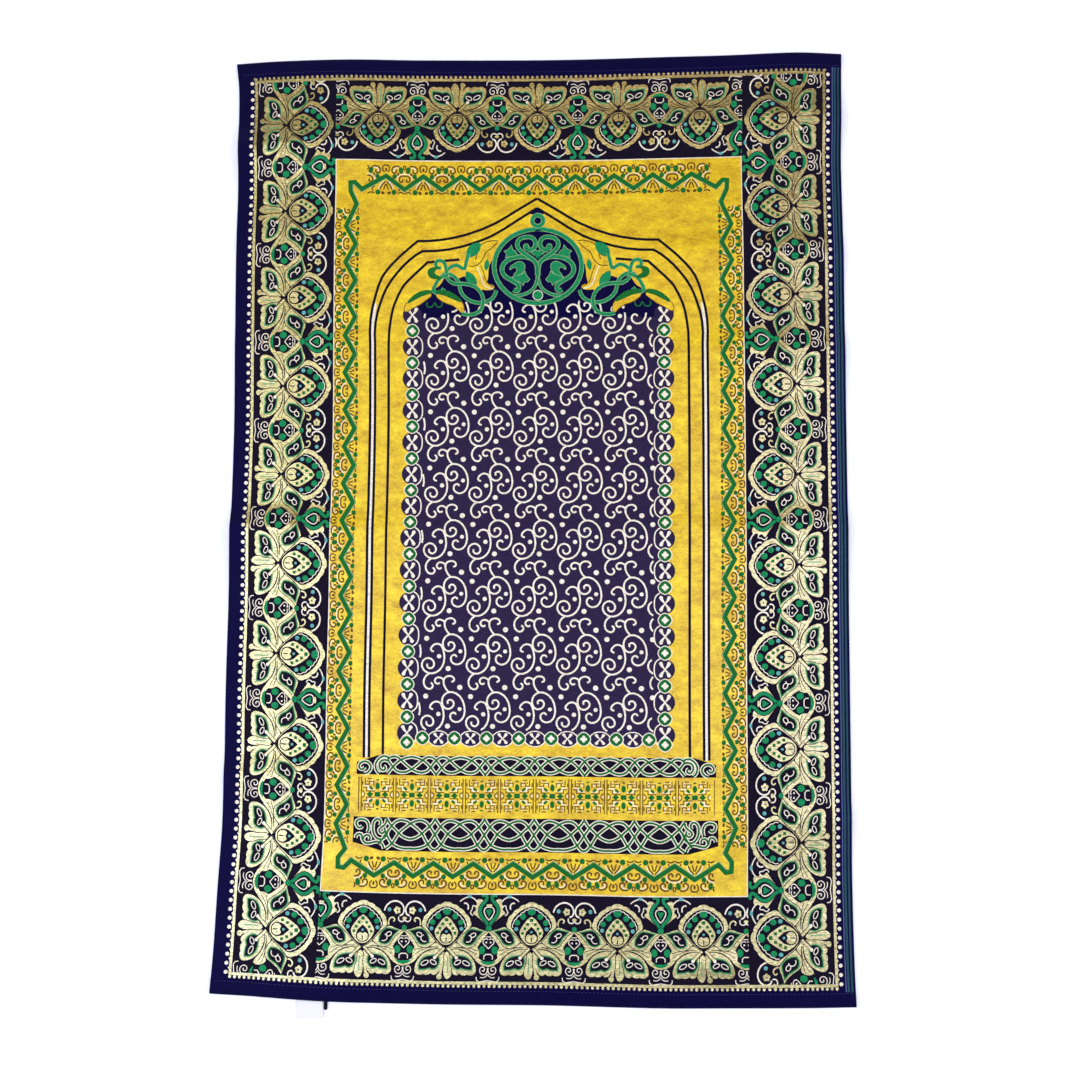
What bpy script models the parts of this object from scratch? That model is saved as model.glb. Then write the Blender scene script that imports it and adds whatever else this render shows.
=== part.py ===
"""A woven satin prayer rug, lying open on the floor as it was unfolded.

Metres, +Z up. +X is to the right of someone who faces the niche, and +Y points to its top.
The origin is on the floor, at the middle of the whole object's outline.
The rug is one cloth: selvedges left and right, a turned hem at the head and
at the foot. A small care label and a dark tape end are caught in the foot hem.
"""

from math import cos, pi, radians, sin

import bmesh
import bpy
from mathutils import Matrix, Vector

MM = 0.001

# ---- driving dimensions ----
WIDTH = 700 * MM  # the cloth as cut, selvedge to selvedge
LENGTH = 1065 * MM  # hem fold to hem fold
CLOTH = 1.2 * MM  # thickness of the single cloth
HEM_DEPTH = 16 * MM  # the turned hem at the head and foot
HEM_RISE = 1.1 * MM  # how much thicker the turned hem is
HEM_SOFTNESS = 6 * MM  # over which the hem's edge sinks into the cloth
HEM_ROLL = 1.5 * MM  # the rounding of the fold
COLUMN_STEP = 25 * MM
ROW_STEP = 10 * MM
CLOTH_Y = 10.5 * MM  # the cloth's middle, so that the label is inside the centred outline
TOUCH_GAP = 0.3 * MM  # between two pieces that touch

LABEL_WIDTH = 29.5 * MM
LABEL_LENGTH = 33 * MM  # of which TUCK is under the hem
LABEL_THICK = 1.0 * MM
LABEL_X = -242.3 * MM
LABEL_TURN = radians(4)
TAPE_WIDTH = 4 * MM
TAPE_LENGTH = 23.5 * MM
TAPE_THICK = 1.0 * MM
TAPE_X = -223 * MM
TUCK = 14 * MM  # how far both reach in under the hem, to its stitching

# How far each edge strays from the straight cut, as (place along the edge, stray) in mm.
# Left and right: place is v, up the rug, and stray is to +X.
# Head and foot: place is u, across the rug, and stray is to +Y.
LEFT_EDGE = [
    (-532, -1.5), (-480, 1.7), (-420, 4.0), (-360, 7.0), (-300, 8.0), (-200, 6.8), (-100, 7.2),
    (0, 7.4), (100, 7.8), (200, 6.0), (300, 4.4), (400, 4.6), (450, 3.4), (500, 2.4), (532, -1.0),
]
RIGHT_EDGE = [
    (-532, -0.5), (-480, -2.0), (-400, -2.9), (-300, -2.4), (-100, -1.6), (0, -1.2), (200, -1.2),
    (300, -1.2), (400, -2.4), (450, -1.6), (532, 0.0),
]
HEAD_EDGE = [
    (-350, -2.0), (-300, 0.7), (-220, 1.6), (-140, -1.1), (-20, -3.3), (60, -3.6), (140, -2.6),
    (220, -1.7), (300, 0.4), (350, -2.5),
]
FOOT_EDGE = [
    (-350, 3.0), (-300, 0.9), (-220, -3.0), (-100, -4.1), (20, -3.1), (140, -4.1), (220, -2.7),
    (300, -1.0), (350, 0.7),
]

# The creases that packing left, in mm. Each is a soft ridge right across the rug. Its crest runs
# from v_left at the left edge to v_right at the right edge. It is left, middle and right high
# at the left edge, in the middle and at the right edge. Its flanks are head_side wide towards
# the head and foot_side wide towards the foot.
CREASES = [
    dict(v_left=430, v_right=462, left=6.0, middle=1.6, right=3.6, head_side=36, foot_side=64),
    dict(v_left=330, v_right=300, left=0.6, middle=0.6, right=2.4, head_side=26, foot_side=56),
    dict(v_left=196, v_right=188, left=0.8, middle=0.6, right=3.2, head_side=28, foot_side=80),
    dict(v_left=-16, v_right=-14, left=7.0, middle=1.8, right=4.0, head_side=30, foot_side=100),
    dict(v_left=-293, v_right=-250, left=3.4, middle=0.7, right=0.4, head_side=26, foot_side=70),
    dict(v_left=-380, v_right=-331, left=0.4, middle=0.6, right=3.2, head_side=26, foot_side=60),
]
# One short crease in the right of the foot border, fading out both ways from u.
SHORT_CREASE = dict(u=205, v=-487, half_length=70, height=2.0, head_side=18, foot_side=26)
# The hem rides up over the label and the tape: a plateau with soft edges.
RIDE_UP = dict(u=-238, half_width=38, depth=17, softness=30)


def smooth(t):
    """0 below 0, 1 above 1, and a smooth step between."""
    t = min(1.0, max(0.0, t))
    return t * t * (3 - 2 * t)


def slope_at(table, row):
    """The slope of a table at one of its rows, taken over both its neighbours."""
    before = table[max(row - 1, 0)]
    after = table[min(row + 1, len(table) - 1)]
    return (after[1] - before[1]) / (after[0] - before[0])


def along_table(table, place):
    """The stray at a place, on a smooth curve through all the table's rows, in metres."""
    place = min(table[-1][0], max(table[0][0], place / MM))
    row = max(i for i in range(len(table) - 1) if table[i][0] <= place)
    (p0, s0), (p1, s1) = table[row], table[row + 1]
    span = p1 - p0
    t = (place - p0) / span
    rise = t * t * (3 - 2 * t)
    start = t * (1 - t) ** 2 * span * slope_at(table, row)
    end = t * t * (t - 1) * span * slope_at(table, row + 1)
    return (s0 + (s1 - s0) * rise + start + end) * MM


def flank(distance, head_side, foot_side):
    """The profile of a crease: 1 on its crest, and 0 beyond either flank."""
    width = head_side if distance > 0 else foot_side
    reach = min(1.0, abs(distance) / width)
    return (1 - reach) ** 2 * (1 + reach)


def crease_height(c, across, v):
    crest = c["v_left"] + (c["v_right"] - c["v_left"]) * (across + 1) / 2
    side = c["left"] if across < 0 else c["right"]
    high = c["middle"] + (side - c["middle"]) * smooth((abs(across) - 0.3) / 0.6)
    return high * flank(v - crest, c["head_side"], c["foot_side"])


def short_crease_height(u, v):
    s = SHORT_CREASE
    fade = 1 - smooth(abs(u - s["u"]) / s["half_length"])
    return s["height"] * fade * flank(v - s["v"], s["head_side"], s["foot_side"])


def ride_up_height(u, v):
    r = RIDE_UP
    above_fold = v + LENGTH / 2 / MM
    beside = 1 - smooth((abs(u - r["u"]) - r["half_width"]) / r["softness"])
    inside = 1 - smooth((above_fold - r["depth"]) / r["softness"])
    return (LABEL_THICK + TOUCH_GAP) / MM * beside * inside


def relief(u, v):
    """How high the underside stands over the floor at a point of the cloth."""
    u, v = u / MM, v / MM
    across = u / (WIDTH / 2 / MM)
    heights = [crease_height(c, across, v) for c in CREASES]
    heights += [short_crease_height(u, v), ride_up_height(u, v)]
    return max(heights) * MM


def lie(u, v):
    """Where a point of the flat cloth lies on the floor, as (x, y)."""
    right_share = u / WIDTH + 0.5
    head_share = v / LENGTH + 0.5
    x = u + along_table(LEFT_EDGE, v) * (1 - right_share) + along_table(RIGHT_EDGE, v) * right_share
    y = v + along_table(FOOT_EDGE, u) * (1 - head_share) + along_table(HEAD_EDGE, u) * head_share
    return x, y + CLOTH_Y


def thickness(v):
    """The cloth's thickness at v: the turned hem is a soft step thicker."""
    from_fold = LENGTH / 2 - abs(v)
    on_hem = 1 - smooth((from_fold - HEM_DEPTH) / HEM_SOFTNESS + 0.5)
    rolled = 0.35 + 0.65 * smooth(from_fold / HEM_ROLL)
    return CLOTH + HEM_RISE * on_hem * rolled


def evenly(start, end, step):
    """Places from start to end, about a step apart, both ends included."""
    cells = round((end - start) / step)
    return [start + (end - start) * i / cells for i in range(cells + 1)]


def cloth_rows():
    """The places of the rows: even ones, with closer ones through each hem's fold and edge."""
    head = LENGTH / 2
    plain = head - HEM_DEPTH - HEM_SOFTNESS / 2
    hem = [plain + HEM_SOFTNESS / 2, plain + HEM_SOFTNESS, head - HEM_ROLL, head]
    middle = evenly(-plain, plain, ROW_STEP)
    return [-v for v in reversed(hem)] + middle + hem


def material(name, colour, roughness, metallic):
    made = bpy.data.materials.new(name)
    made.use_nodes = True
    shader = made.node_tree.nodes["Principled BSDF"]
    shader.inputs["Base Color"].default_value = (*colour, 1)
    shader.inputs["Roughness"].default_value = roughness
    shader.inputs["Metallic"].default_value = metallic
    return made


def add_object(name, bm, finish):
    bmesh.ops.recalc_face_normals(bm, faces=bm.faces)
    mesh = bpy.data.meshes.new(name)
    bm.to_mesh(mesh)
    bm.free()
    mesh.materials.append(finish)
    mesh.shade_smooth()
    mesh.set_sharp_from_angle(angle=radians(40))
    made = bpy.data.objects.new(name, mesh)
    bpy.context.scene.collection.objects.link(made)


def solid_sheet(columns, rows, underside, rise):
    """A closed sheet: underside(u, v) places its lower points, and rise(v) is its thickness."""
    bm = bmesh.new()
    layers = []
    for is_top in (0, 1):
        up = [Vector((0, 0, rise(v) * is_top)) for v in rows]
        layers.append([[bm.verts.new(Vector(underside(u, v)) + up[j]) for u in columns]
                       for j, v in enumerate(rows)])
    low, top = layers
    for j in range(len(rows) - 1):
        for i in range(len(columns) - 1):
            for layer in layers:
                corners = [layer[j][i], layer[j][i + 1], layer[j + 1][i + 1], layer[j + 1][i]]
                bm.faces.new(corners if layer is top else corners[::-1])
    around = [(0, i) for i in range(len(columns))]
    around += [(j, len(columns) - 1) for j in range(1, len(rows))]
    around += [(len(rows) - 1, i) for i in reversed(range(len(columns) - 1))]
    around += [(j, 0) for j in reversed(range(1, len(rows) - 1))]
    for (j, i), (k, h) in zip(around, around[1:] + around[:1]):
        bm.faces.new([low[j][i], low[k][h], top[k][h], top[j][i]])
    return bm


def rug_cloth(finish):
    columns = evenly(-WIDTH / 2, WIDTH / 2, COLUMN_STEP)
    bm = solid_sheet(columns, cloth_rows(), lambda u, v: (*lie(u, v), relief(u, v)), thickness)
    add_object("rug_cloth", bm, finish)


def tuck_line(x):
    """The y of the end of a tucked piece, which is inside the foot hem's fold."""
    return lie(x, -LENGTH / 2)[1] + TUCK


def care_label(finish):
    """A blank satin tape label, caught under the foot hem and lying out on the floor."""
    columns = evenly(-LABEL_WIDTH / 2, LABEL_WIDTH / 2, LABEL_WIDTH / 3)
    rows = evenly(-LABEL_LENGTH, 0, LABEL_LENGTH / 4)
    bm = solid_sheet(columns, rows, lambda u, v: (u, v, 0), lambda v: LABEL_THICK)
    place = Matrix.Translation((LABEL_X, tuck_line(LABEL_X), 0))
    turned = place @ Matrix.Rotation(LABEL_TURN, 4, "Z")
    bmesh.ops.transform(bm, matrix=turned, verts=bm.verts)
    add_object("care_label", bm, finish)


def tape_end(finish):
    """The round end of a narrow dark tape, caught in the same hem beside the label."""
    radius = TAPE_WIDTH / 2
    steps = 10
    ring = [(radius, 0), (-radius, 0)]
    for step in range(steps + 1):
        turn = pi * step / steps
        ring.append((-radius * cos(turn), radius - TAPE_LENGTH - radius * sin(turn)))
    bm = bmesh.new()
    low = [bm.verts.new((x, y, 0)) for x, y in ring]
    top = [bm.verts.new((x, y, TAPE_THICK)) for x, y in ring]
    bm.faces.new(low[::-1])
    bm.faces.new(top)
    for a in range(len(ring)):
        b = (a + 1) % len(ring)
        bm.faces.new([low[a], low[b], top[b], top[a]])
    bmesh.ops.translate(bm, vec=(TAPE_X, tuck_line(TAPE_X), 0), verts=bm.verts)
    add_object("tape_end", bm, finish)


def main():
    for old in list(bpy.data.objects):
        bpy.data.objects.remove(old)
    rug_cloth(material("purple_gold_brocade", (0.16, 0.10, 0.06), 0.45, 0.3))
    care_label(material("white_satin_tape", (0.86, 0.87, 0.85), 0.5, 0.0))
    tape_end(material("black_tape", (0.01, 0.01, 0.012), 0.6, 0.0))


main()
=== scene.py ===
"""The looks of a woven satin prayer rug that lies open on a pale floor.

Metres, +Z up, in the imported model's own frame. The pattern is drawn in millimetres on the flat
cloth, as a weaver's chart is: p runs across the rug from its middle and v up the rug.
A point of it is a complex number, p + v * 1j. A drawing is a list of (yarn, outline) pairs in
the order in which they are laid on. The whole drawing is cut into triangles, and each triangle
takes the yarn that is on top there, so the pattern is flat and the cloth is one piece.
"""

from math import ceil, cos, pi, radians, sin, sqrt

import bpy
import numpy as np
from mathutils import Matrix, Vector, geometry
from mathutils.bvhtree import BVHTree


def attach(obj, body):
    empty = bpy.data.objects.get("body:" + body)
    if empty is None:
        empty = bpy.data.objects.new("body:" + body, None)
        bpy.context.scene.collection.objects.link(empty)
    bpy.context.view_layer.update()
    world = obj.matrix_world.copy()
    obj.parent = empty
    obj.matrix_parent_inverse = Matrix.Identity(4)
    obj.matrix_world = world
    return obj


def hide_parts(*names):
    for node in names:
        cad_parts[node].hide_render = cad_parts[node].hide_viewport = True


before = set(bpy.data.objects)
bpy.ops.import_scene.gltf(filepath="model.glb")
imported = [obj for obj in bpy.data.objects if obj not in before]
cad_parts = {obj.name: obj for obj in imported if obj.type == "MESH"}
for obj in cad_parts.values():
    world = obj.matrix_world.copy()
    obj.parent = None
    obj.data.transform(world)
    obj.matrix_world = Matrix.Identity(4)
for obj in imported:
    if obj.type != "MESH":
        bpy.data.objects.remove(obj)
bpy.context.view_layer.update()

MM = 0.001

# ---- the cloth, in millimetres ----
WIDTH = 700.0
LENGTH = 1065.0
CLOTH = 1.2
HEM_DEPTH = 16.0
HEM_RISE = 1.1
HEM_SOFTNESS = 6.0
HEM_ROLL = 1.5
CLOTH_Y = 10.5
TOUCH_GAP = 0.3
RIPPLE = 0.22  # the small waves that no pressing takes out of a light cloth
GRID = 12.5  # how far apart the points are where no pattern line runs
BACK_GRID = 25.0
EDGE_ROUND = 0.35  # how far the cloth's edge bulges at half its thickness
LABEL_THICK = 1.0

# How far each edge strays from the straight cut, as (place along the edge, stray).
LEFT_EDGE = [
    (-532, -1.5), (-480, 1.7), (-420, 4.0), (-360, 7.0), (-300, 8.0), (-200, 6.8), (-100, 7.2),
    (0, 7.4), (100, 7.8), (200, 6.0), (300, 4.4), (400, 4.6), (450, 3.4), (500, 2.4), (532, -1.0),
]
RIGHT_EDGE = [
    (-532, -0.5), (-480, -2.0), (-400, -2.9), (-300, -2.4), (-100, -1.6), (0, -1.2), (200, -1.2),
    (300, -1.2), (400, -2.4), (450, -1.6), (532, 0.0),
]
HEAD_EDGE = [
    (-350, -2.0), (-300, 0.7), (-220, 1.6), (-140, -1.1), (-20, -3.3), (60, -3.6), (140, -2.6),
    (220, -1.7), (300, 0.4), (350, -2.5),
]
FOOT_EDGE = [
    (-350, 3.0), (-300, 0.9), (-220, -3.0), (-100, -4.1), (20, -3.1), (140, -4.1), (220, -2.7),
    (300, -1.0), (350, 0.7),
]

# The creases that packing left, each a soft ridge right across the rug.
CREASES = [
    dict(v_left=430, v_right=462, left=6.0, middle=1.6, right=3.6, head_side=36, foot_side=64),
    dict(v_left=330, v_right=300, left=0.6, middle=0.6, right=2.4, head_side=26, foot_side=56),
    dict(v_left=196, v_right=188, left=0.8, middle=0.6, right=3.2, head_side=28, foot_side=80),
    dict(v_left=-16, v_right=-14, left=7.0, middle=1.8, right=4.0, head_side=30, foot_side=100),
    dict(v_left=-293, v_right=-250, left=3.4, middle=0.7, right=0.4, head_side=26, foot_side=70),
    dict(v_left=-380, v_right=-331, left=0.4, middle=0.6, right=3.2, head_side=26, foot_side=60),
]
SHORT_CREASE = dict(u=205, v=-487, half_length=70, height=2.0, head_side=18, foot_side=26)
RIDE_UP = dict(u=-238, half_width=38, depth=17, softness=30)

# How far the weave has crept from its even chart, as (place on the chart, creep on the cloth).
CREEP_ACROSS = [
    (-350, 0), (-332, 1.1), (-294, -0.4), (-236, 1.5), (-185, 2.1), (-145, 1.4), (0, 1.0), (145, 1.6),
    (185, 1.4), (236, 0.6), (294, 2.4), (330, 0.1), (350, 0),
]
CREEP_UP = [
    (-532, 0), (-522, 0.3), (-511, 1.2), (-410, 0.1), (-300, -1), (-200, -3.2), (-80, -3.8), (50, -4.8),
    (150, -4.8), (250, -3.3), (350, -2.6), (412, -1.9), (511, -2), (523, -0.6), (532, 0),
]

# ---- where the pattern's parts are on the flat cloth ----
CLOTH_LEFT, CLOTH_RIGHT = -350.0, 350.0
HALF_LENGTH = LENGTH / 2
LINE_P, LINE_V = 330.5, 511.0  # the gold line round the border
LINE_WIDTH = 3.0
DOT_P, DOT_V = 335.2, 514.0  # the dots outside it
SIDE_DOTS, END_DOTS = 9.8, 5.6  # how far apart they are
PALMETTE_P, PALMETTE_V = 294.2, 475.6  # where the palmettes' petals meet
BETWEEN_P, BETWEEN_V = 294.4, 477.5  # the same for the motifs between the palmettes
PANEL_P, PANEL_HEAD, PANEL_FOOT = 236.5, 414.0, -416.0
COLUMN_STEP, ROW_STEP = 101.8, 93.7
COLUMN_SHIFT = -2.0  # how far above the middle the columns are centred
TALL = 1.093  # the chart of the motifs between the palmettes is this much taller than wide
OUTER_LONG = 1.12  # and in the columns its outer part is this much longer
PALMETTE_WIDE, PALMETTE_IN, PALMETTE_OUT = 1.07, 1.07, 0.99  # how the columns stretch a palmette
FIELD_HEAD, FIELD_FOOT = 236.0, -244.7

# ---- yarns: the cloth's materials, in the order of its slots ----
YARNS = [
    "purple_border_satin", "purple_field_satin", "indigo_satin", "pale_gold_lurex",
    "yellow_gold_lurex", "cream_weft", "jewel_green_weft", "leaf_green_weft", "olive_weft",
    "brown_weft", "teal_weft", "selvedge_teal", "selvedge_blue", "rug_back",
]
(PURPLE, FIELD, INDIGO, PALE_GOLD, GOLD, CREAM, JEWEL, LEAF, OLIVE, BROWN, TEAL, EDGE_TEAL,
 EDGE_BLUE, BACK) = range(len(YARNS))

CURVE_FIT = 0.24  # how close a curve's straight pieces stay to it
STRAIGHT = 0.07  # a point this close to a straight border is left out
SAME_POINT = 0.004  # points this close together are one point


# ---- the shape of the cloth ----
def smooth(t):
    """0 below 0, 1 above 1, and a smooth step between."""
    t = np.clip(t, 0, 1)
    return t * t * (3 - 2 * t)


def along_table(table, place):
    """The stray at each place, on a smooth curve through all the table's rows."""
    places, strays = np.array(table, float).T
    row = np.arange(len(places))
    before, after = np.maximum(row - 1, 0), np.minimum(row + 1, len(places) - 1)
    slopes = (strays[after] - strays[before]) / (places[after] - places[before])
    place = np.clip(place, places[0], places[-1])
    i = np.clip(np.searchsorted(places, place, side="right") - 1, 0, len(places) - 2)
    span = places[i + 1] - places[i]
    t = (place - places[i]) / span
    rise = (strays[i + 1] - strays[i]) * t * t * (3 - 2 * t)
    ends = span * (t * (1 - t) ** 2 * slopes[i] + t * t * (t - 1) * slopes[i + 1])
    return strays[i] + rise + ends


def flank(distance, head_side, foot_side):
    reach = np.minimum(1.0, np.abs(distance) / np.where(distance > 0, head_side, foot_side))
    return (1 - reach) ** 2 * (1 + reach)


def crease_height(c, across, v):
    crest = c["v_left"] + (c["v_right"] - c["v_left"]) * (across + 1) / 2
    side = np.where(across < 0, c["left"], c["right"])
    high = c["middle"] + (side - c["middle"]) * smooth((np.abs(across) - 0.3) / 0.6)
    return high * flank(v - crest, c["head_side"], c["foot_side"])


def short_crease_height(u, v):
    s = SHORT_CREASE
    fade = 1 - smooth(np.abs(u - s["u"]) / s["half_length"])
    return s["height"] * fade * flank(v - s["v"], s["head_side"], s["foot_side"])


def ride_up_height(u, v):
    r = RIDE_UP
    beside = 1 - smooth((np.abs(u - r["u"]) - r["half_width"]) / r["softness"])
    inside = 1 - smooth((v + HALF_LENGTH - r["depth"]) / r["softness"])
    return (LABEL_THICK + TOUCH_GAP) * beside * inside


def relief(u, v):
    """How high the underside stands over the floor."""
    heights = [crease_height(c, u / (WIDTH / 2), v) for c in CREASES]
    return np.maximum.reduce([*heights, short_crease_height(u, v), ride_up_height(u, v)])


def lie(u, v):
    """Where points of the flat cloth lie on the floor, as x and y."""
    right, head = u / WIDTH + 0.5, v / LENGTH + 0.5
    x = u + along_table(LEFT_EDGE, v) * (1 - right) + along_table(RIGHT_EDGE, v) * right
    y = v + along_table(FOOT_EDGE, u) * (1 - head) + along_table(HEAD_EDGE, u) * head
    return x, y + CLOTH_Y


def thickness(v):
    from_fold = HALF_LENGTH - np.abs(v)
    on_hem = 1 - smooth((from_fold - HEM_DEPTH) / HEM_SOFTNESS + 0.5)
    return CLOTH + HEM_RISE * on_hem * (0.35 + 0.65 * smooth(from_fold / HEM_ROLL))


def ripple(u, v):
    """Small waves: long ones all over, and shorter ones across the two side borders."""
    bend = np.sin(v / 71.0 + 0.6 * np.sin(u / 54.0))
    long_wave = np.sin(u / 47.0 + 1.4 * bend) * np.sin(v / 33.0 + 0.9)
    at_side = smooth((np.abs(u) - 220) / 80)
    short_wave = np.sin(v / 9.5 + 1.7 * np.sin(u / 23.0)) * np.sin(u / 31.0 + v / 88.0)
    return RIPPLE * (0.75 * long_wave + 0.35 * at_side * short_wave)


def top_height(u, v):
    return relief(u, v) + thickness(v) + ripple(u, v)


# ---- the drawing kit ----
def at(*numbers):
    """Points from their two coordinates in turn."""
    return [complex(a, b) for a, b in zip(numbers[::2], numbers[1::2])]


def unit(z):
    return z / abs(z) if z else 1 + 0j


def headings(points, closed):
    """The way a smooth curve through the points runs at each of them."""
    last = len(points) - 1
    steps = [b - a for a, b in zip(points, points[1:] + points[:1])]
    ways = []
    for i in range(len(points)):
        back, on = steps[i - 1], steps[i]
        ways.append(unit(unit(back) * abs(on) + unit(on) * abs(back)))
    if not closed:
        ways[0] = unit(steps[0]) ** 2 * ways[1].conjugate() if last > 1 else unit(steps[0])
        ways[last] = unit(steps[last - 1]) ** 2 * ways[last - 1].conjugate()
    return ways


def curve(points, closed=False):
    """A smooth curve through the points, in straight pieces."""
    ways = headings(points, closed)
    path = [points[0]]
    for i in range(len(points) if closed else len(points) - 1):
        j = (i + 1) % len(points)
        chord = points[j] - points[i]
        length = abs(chord)
        turn = abs(np.angle(chord / ways[i])) + abs(np.angle(ways[j] / chord))
        cuts = max(1, ceil(sqrt(length * turn / 8 / CURVE_FIT)), ceil(turn / 0.9))
        for cut in range(1, cuts + 1):
            t = cut / cuts
            bow = t * (1 - t) ** 2 * ways[i] + t * t * (t - 1) * ways[j]
            path.append(points[i] + chord * t * t * (3 - 2 * t) + bow * length)
    return path[:-1] if closed else path


def oval(centre, across, up, lean=0.0):
    """A closed round outline with its two half widths."""
    sides = max(6, ceil(pi * sqrt(max(across, up) / 2 / CURVE_FIT)))
    turn = complex(cos(lean), sin(lean))
    around = [2 * pi * (i + 0.5) / sides for i in range(sides)]
    return [centre + turn * complex(across * cos(a), up * sin(a)) for a in around]


def disc(centre, radius):
    return oval(centre, radius, radius)


def with_corners(*runs):
    """A closed outline from smooth runs that meet in corners."""
    return [z for run in runs for z in curve(run)[:-1]]


def mirrored(points):
    return [-z.conjugate() for z in reversed(points)]


def whole(half):
    """A symmetric outline from its right half, which starts and ends on the middle line."""
    return half + mirrored(half)[1:-1]


def scallops(notches, height):
    """Round lobes from notch to notch, on the right of the way they run."""
    edge = []
    for a, b in zip(notches, notches[1:]):
        for t in (0, 0.17, 0.4, 0.6, 0.83):
            edge.append(a + (b - a) * t - 1j * unit(b - a) * height * 4 * t * (1 - t))
    return edge + notches[-1:]


def area(outline):
    return sum((a.conjugate() * b).imag for a, b in zip(outline, outline[1:] + outline[:1])) / 2


def left_sides(path, closed):
    """For each point of a path, the step to the left that keeps a parallel line parallel."""
    sides = []
    for i, z in enumerate(path):
        back = z - path[i - 1] if closed or i else path[1] - z
        on = path[(i + 1) % len(path)] - z if closed or i < len(path) - 1 else back
        middle = unit(unit(back) + unit(on))
        sides.append(1j * middle / max(0.5, (middle / unit(back)).real))
    return sides


def grown(outline, by):
    """A closed outline moved outwards."""
    outwards = -1 if area(outline) > 0 else 1
    return [z + outwards * by * side for z, side in zip(outline, left_sides(outline, True))]


def fill(yarn, *outlines):
    """One yarn over each outline."""
    return [(yarn, outline) for outline in outlines]


def edged(yarn, edge_yarn, outline, edge):
    """A yarn over an outline, with an edge of another yarn round it."""
    return fill(edge_yarn, grown(outline, edge)) + fill(yarn, outline)


def stroke(yarn, path, width, closed=False):
    """A line of one width, as one four-sided piece for each of its straight pieces."""
    sides = [s * width / 2 for s in left_sides(path, closed)]
    drawing = []
    for i in range(len(path) if closed else len(path) - 1):
        j = (i + 1) % len(path)
        way = path[j] - path[i]
        left, right = [path[i] + sides[i], path[j] + sides[j]], [path[i] - sides[i], path[j] - sides[j]]
        if ((left[1] - left[0]) * way.conjugate()).real < 0:
            left = [sum(left) / 2]
        if ((right[1] - right[0]) * way.conjugate()).real < 0:
            right = [sum(right) / 2]
        drawing.append((yarn, right + left[::-1]))
    return drawing


def strokes(yarn, width, *paths):
    return [piece for path in paths for piece in stroke(yarn, path, width)]


def line(yarn, width, *numbers):
    """A smooth line of one width through points, whose coordinates are given in turn."""
    return stroke(yarn, curve(at(*numbers)), width)


def strap(yarn, edge_yarn, path, width, edge, closed=False):
    """A line with an edge of another yarn along both sides."""
    return stroke(edge_yarn, path, width + 2 * edge, closed) + stroke(yarn, path, width, closed)


def box(yarn, left, foot, right, head):
    return fill(yarn, at(left, foot, right, foot, right, head, left, head))


def both(drawing):
    """A drawing and its mirror image."""
    return drawing + [(yarn, mirrored(outline)) for yarn, outline in drawing]


def placed(drawing, move):
    return [(yarn, [move(z) for z in outline]) for yarn, outline in drawing]


def shifted(drawing, step):
    return placed(drawing, lambda z: z + step)


def at_each(path, places):
    """Copies of a path, one moved along to each place."""
    return [[z + place for z in path] for place in places]


def inside(drawing, left, foot, right, head):
    """Only the pieces whose middle is inside a box."""
    kept = []
    for yarn, outline in drawing:
        middle = sum(outline) / len(outline)
        if left < middle.real < right and foot < middle.imag < head:
            kept.append((yarn, outline))
    return kept


# ---- the border's motifs: s runs along the border and d inwards from where the petals meet ----
def petal(edge, heart, olive):
    """A gold petal with a purple heart, which has a green edge and an olive one outside that."""
    drawing = edged(PALE_GOLD, PURPLE, edge, 0.8)
    return drawing + fill(OLIVE, grown(heart, olive)) + edged(PURPLE, LEAF, heart, 0.9)


def outer_petal():
    edge = with_corners(
        at(1.5, -3, 2.8, -11.7, 5.6, -20, 9.4, -26, 12.8, -27.2, 15.8, -25),
        at(15.8, -25, 19, -27.2, 24, -26.4),
        at(24, -26.4, 29.5, -27.2, 33.4, -24.4, 33.6, -19, 30.8, -11.5, 25.6, -5, 17, -0.8, 7.8, 0.4,
           1.5, -3),
    )
    heart = with_corners(
        at(9.6, -7, 7.6, -11, 9, -16.8, 13.2, -20.2, 17, -18.8),
        at(17, -18.8, 22, -20.4, 28.4, -20.8),
        at(28.4, -20.8, 28, -15, 24, -9.6, 17.6, -7.4, 9.6, -7),
    )
    drawing = petal(edge, heart, 2.1)
    drawing += stroke(CREAM, oval(22.8 - 14.4j, 4.4, 2.2, -0.5), 0.9, True)
    drawing += stroke(CREAM, oval(13.4 - 13.6j, 3.8, 2.2, 0.5), 0.9, True)
    drawing += fill(PURPLE, at(-0.4, 0.6, 3.2, 3.6, 14.2, -7.8, 10.6, -10.8))
    drawing += fill(PALE_GOLD, at(1, 1, 3, 2.8, 12.8, -7.4, 10.8, -9.4))
    return drawing + fill(CREAM, disc(12 - 8.6j, 1.9))


def inner_petal():
    edge = with_corners(
        at(11, 9.4, 15.6, 5.4, 23.3, 2.2, 30, 4, 34, 9.6, 38.6, 15.4, 45, 20),
        at(45, 20, 37, 22.2, 29.2, 24.6, 22.2, 19.4, 11, 9.4),
    )
    heart = with_corners(
        at(19.6, 8, 25.6, 5.8, 30, 7.8, 34, 14.4, 39.2, 19.4),
        at(39.2, 19.4, 33.3, 20.6, 27.4, 21.4, 22, 17, 19.6, 8),
    )
    drawing = petal(edge, heart, 1.9) + line(CREAM, 0.9, 22, 8.6, 26.4, 9, 28, 13, 25, 15.6)
    return drawing + stroke(CREAM, oval(29.8 + 15.8j, 3.2, 2.2, 0.5), 0.9, True)


def petal_joint():
    """The gold strands that run out between the outer and the inner petal."""
    edge = at(3, 1, 10, 1.4, 18, 0.4, 25, -3, 30, -7.6, 35, -10.4, 37, -5, 36, 0, 33, 3.4, 27, 2.6,
              16, 6, 7, 6.6)
    drawing = fill(PALE_GOLD, curve(edge, True))
    for bend, end in ((1.6, 34 - 5.6j), (2.6, 35 - 0.8j)):
        drawing += stroke(PURPLE, curve([8 + 2.4j, complex(20, bend), end]), 0.7)
    return drawing


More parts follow.
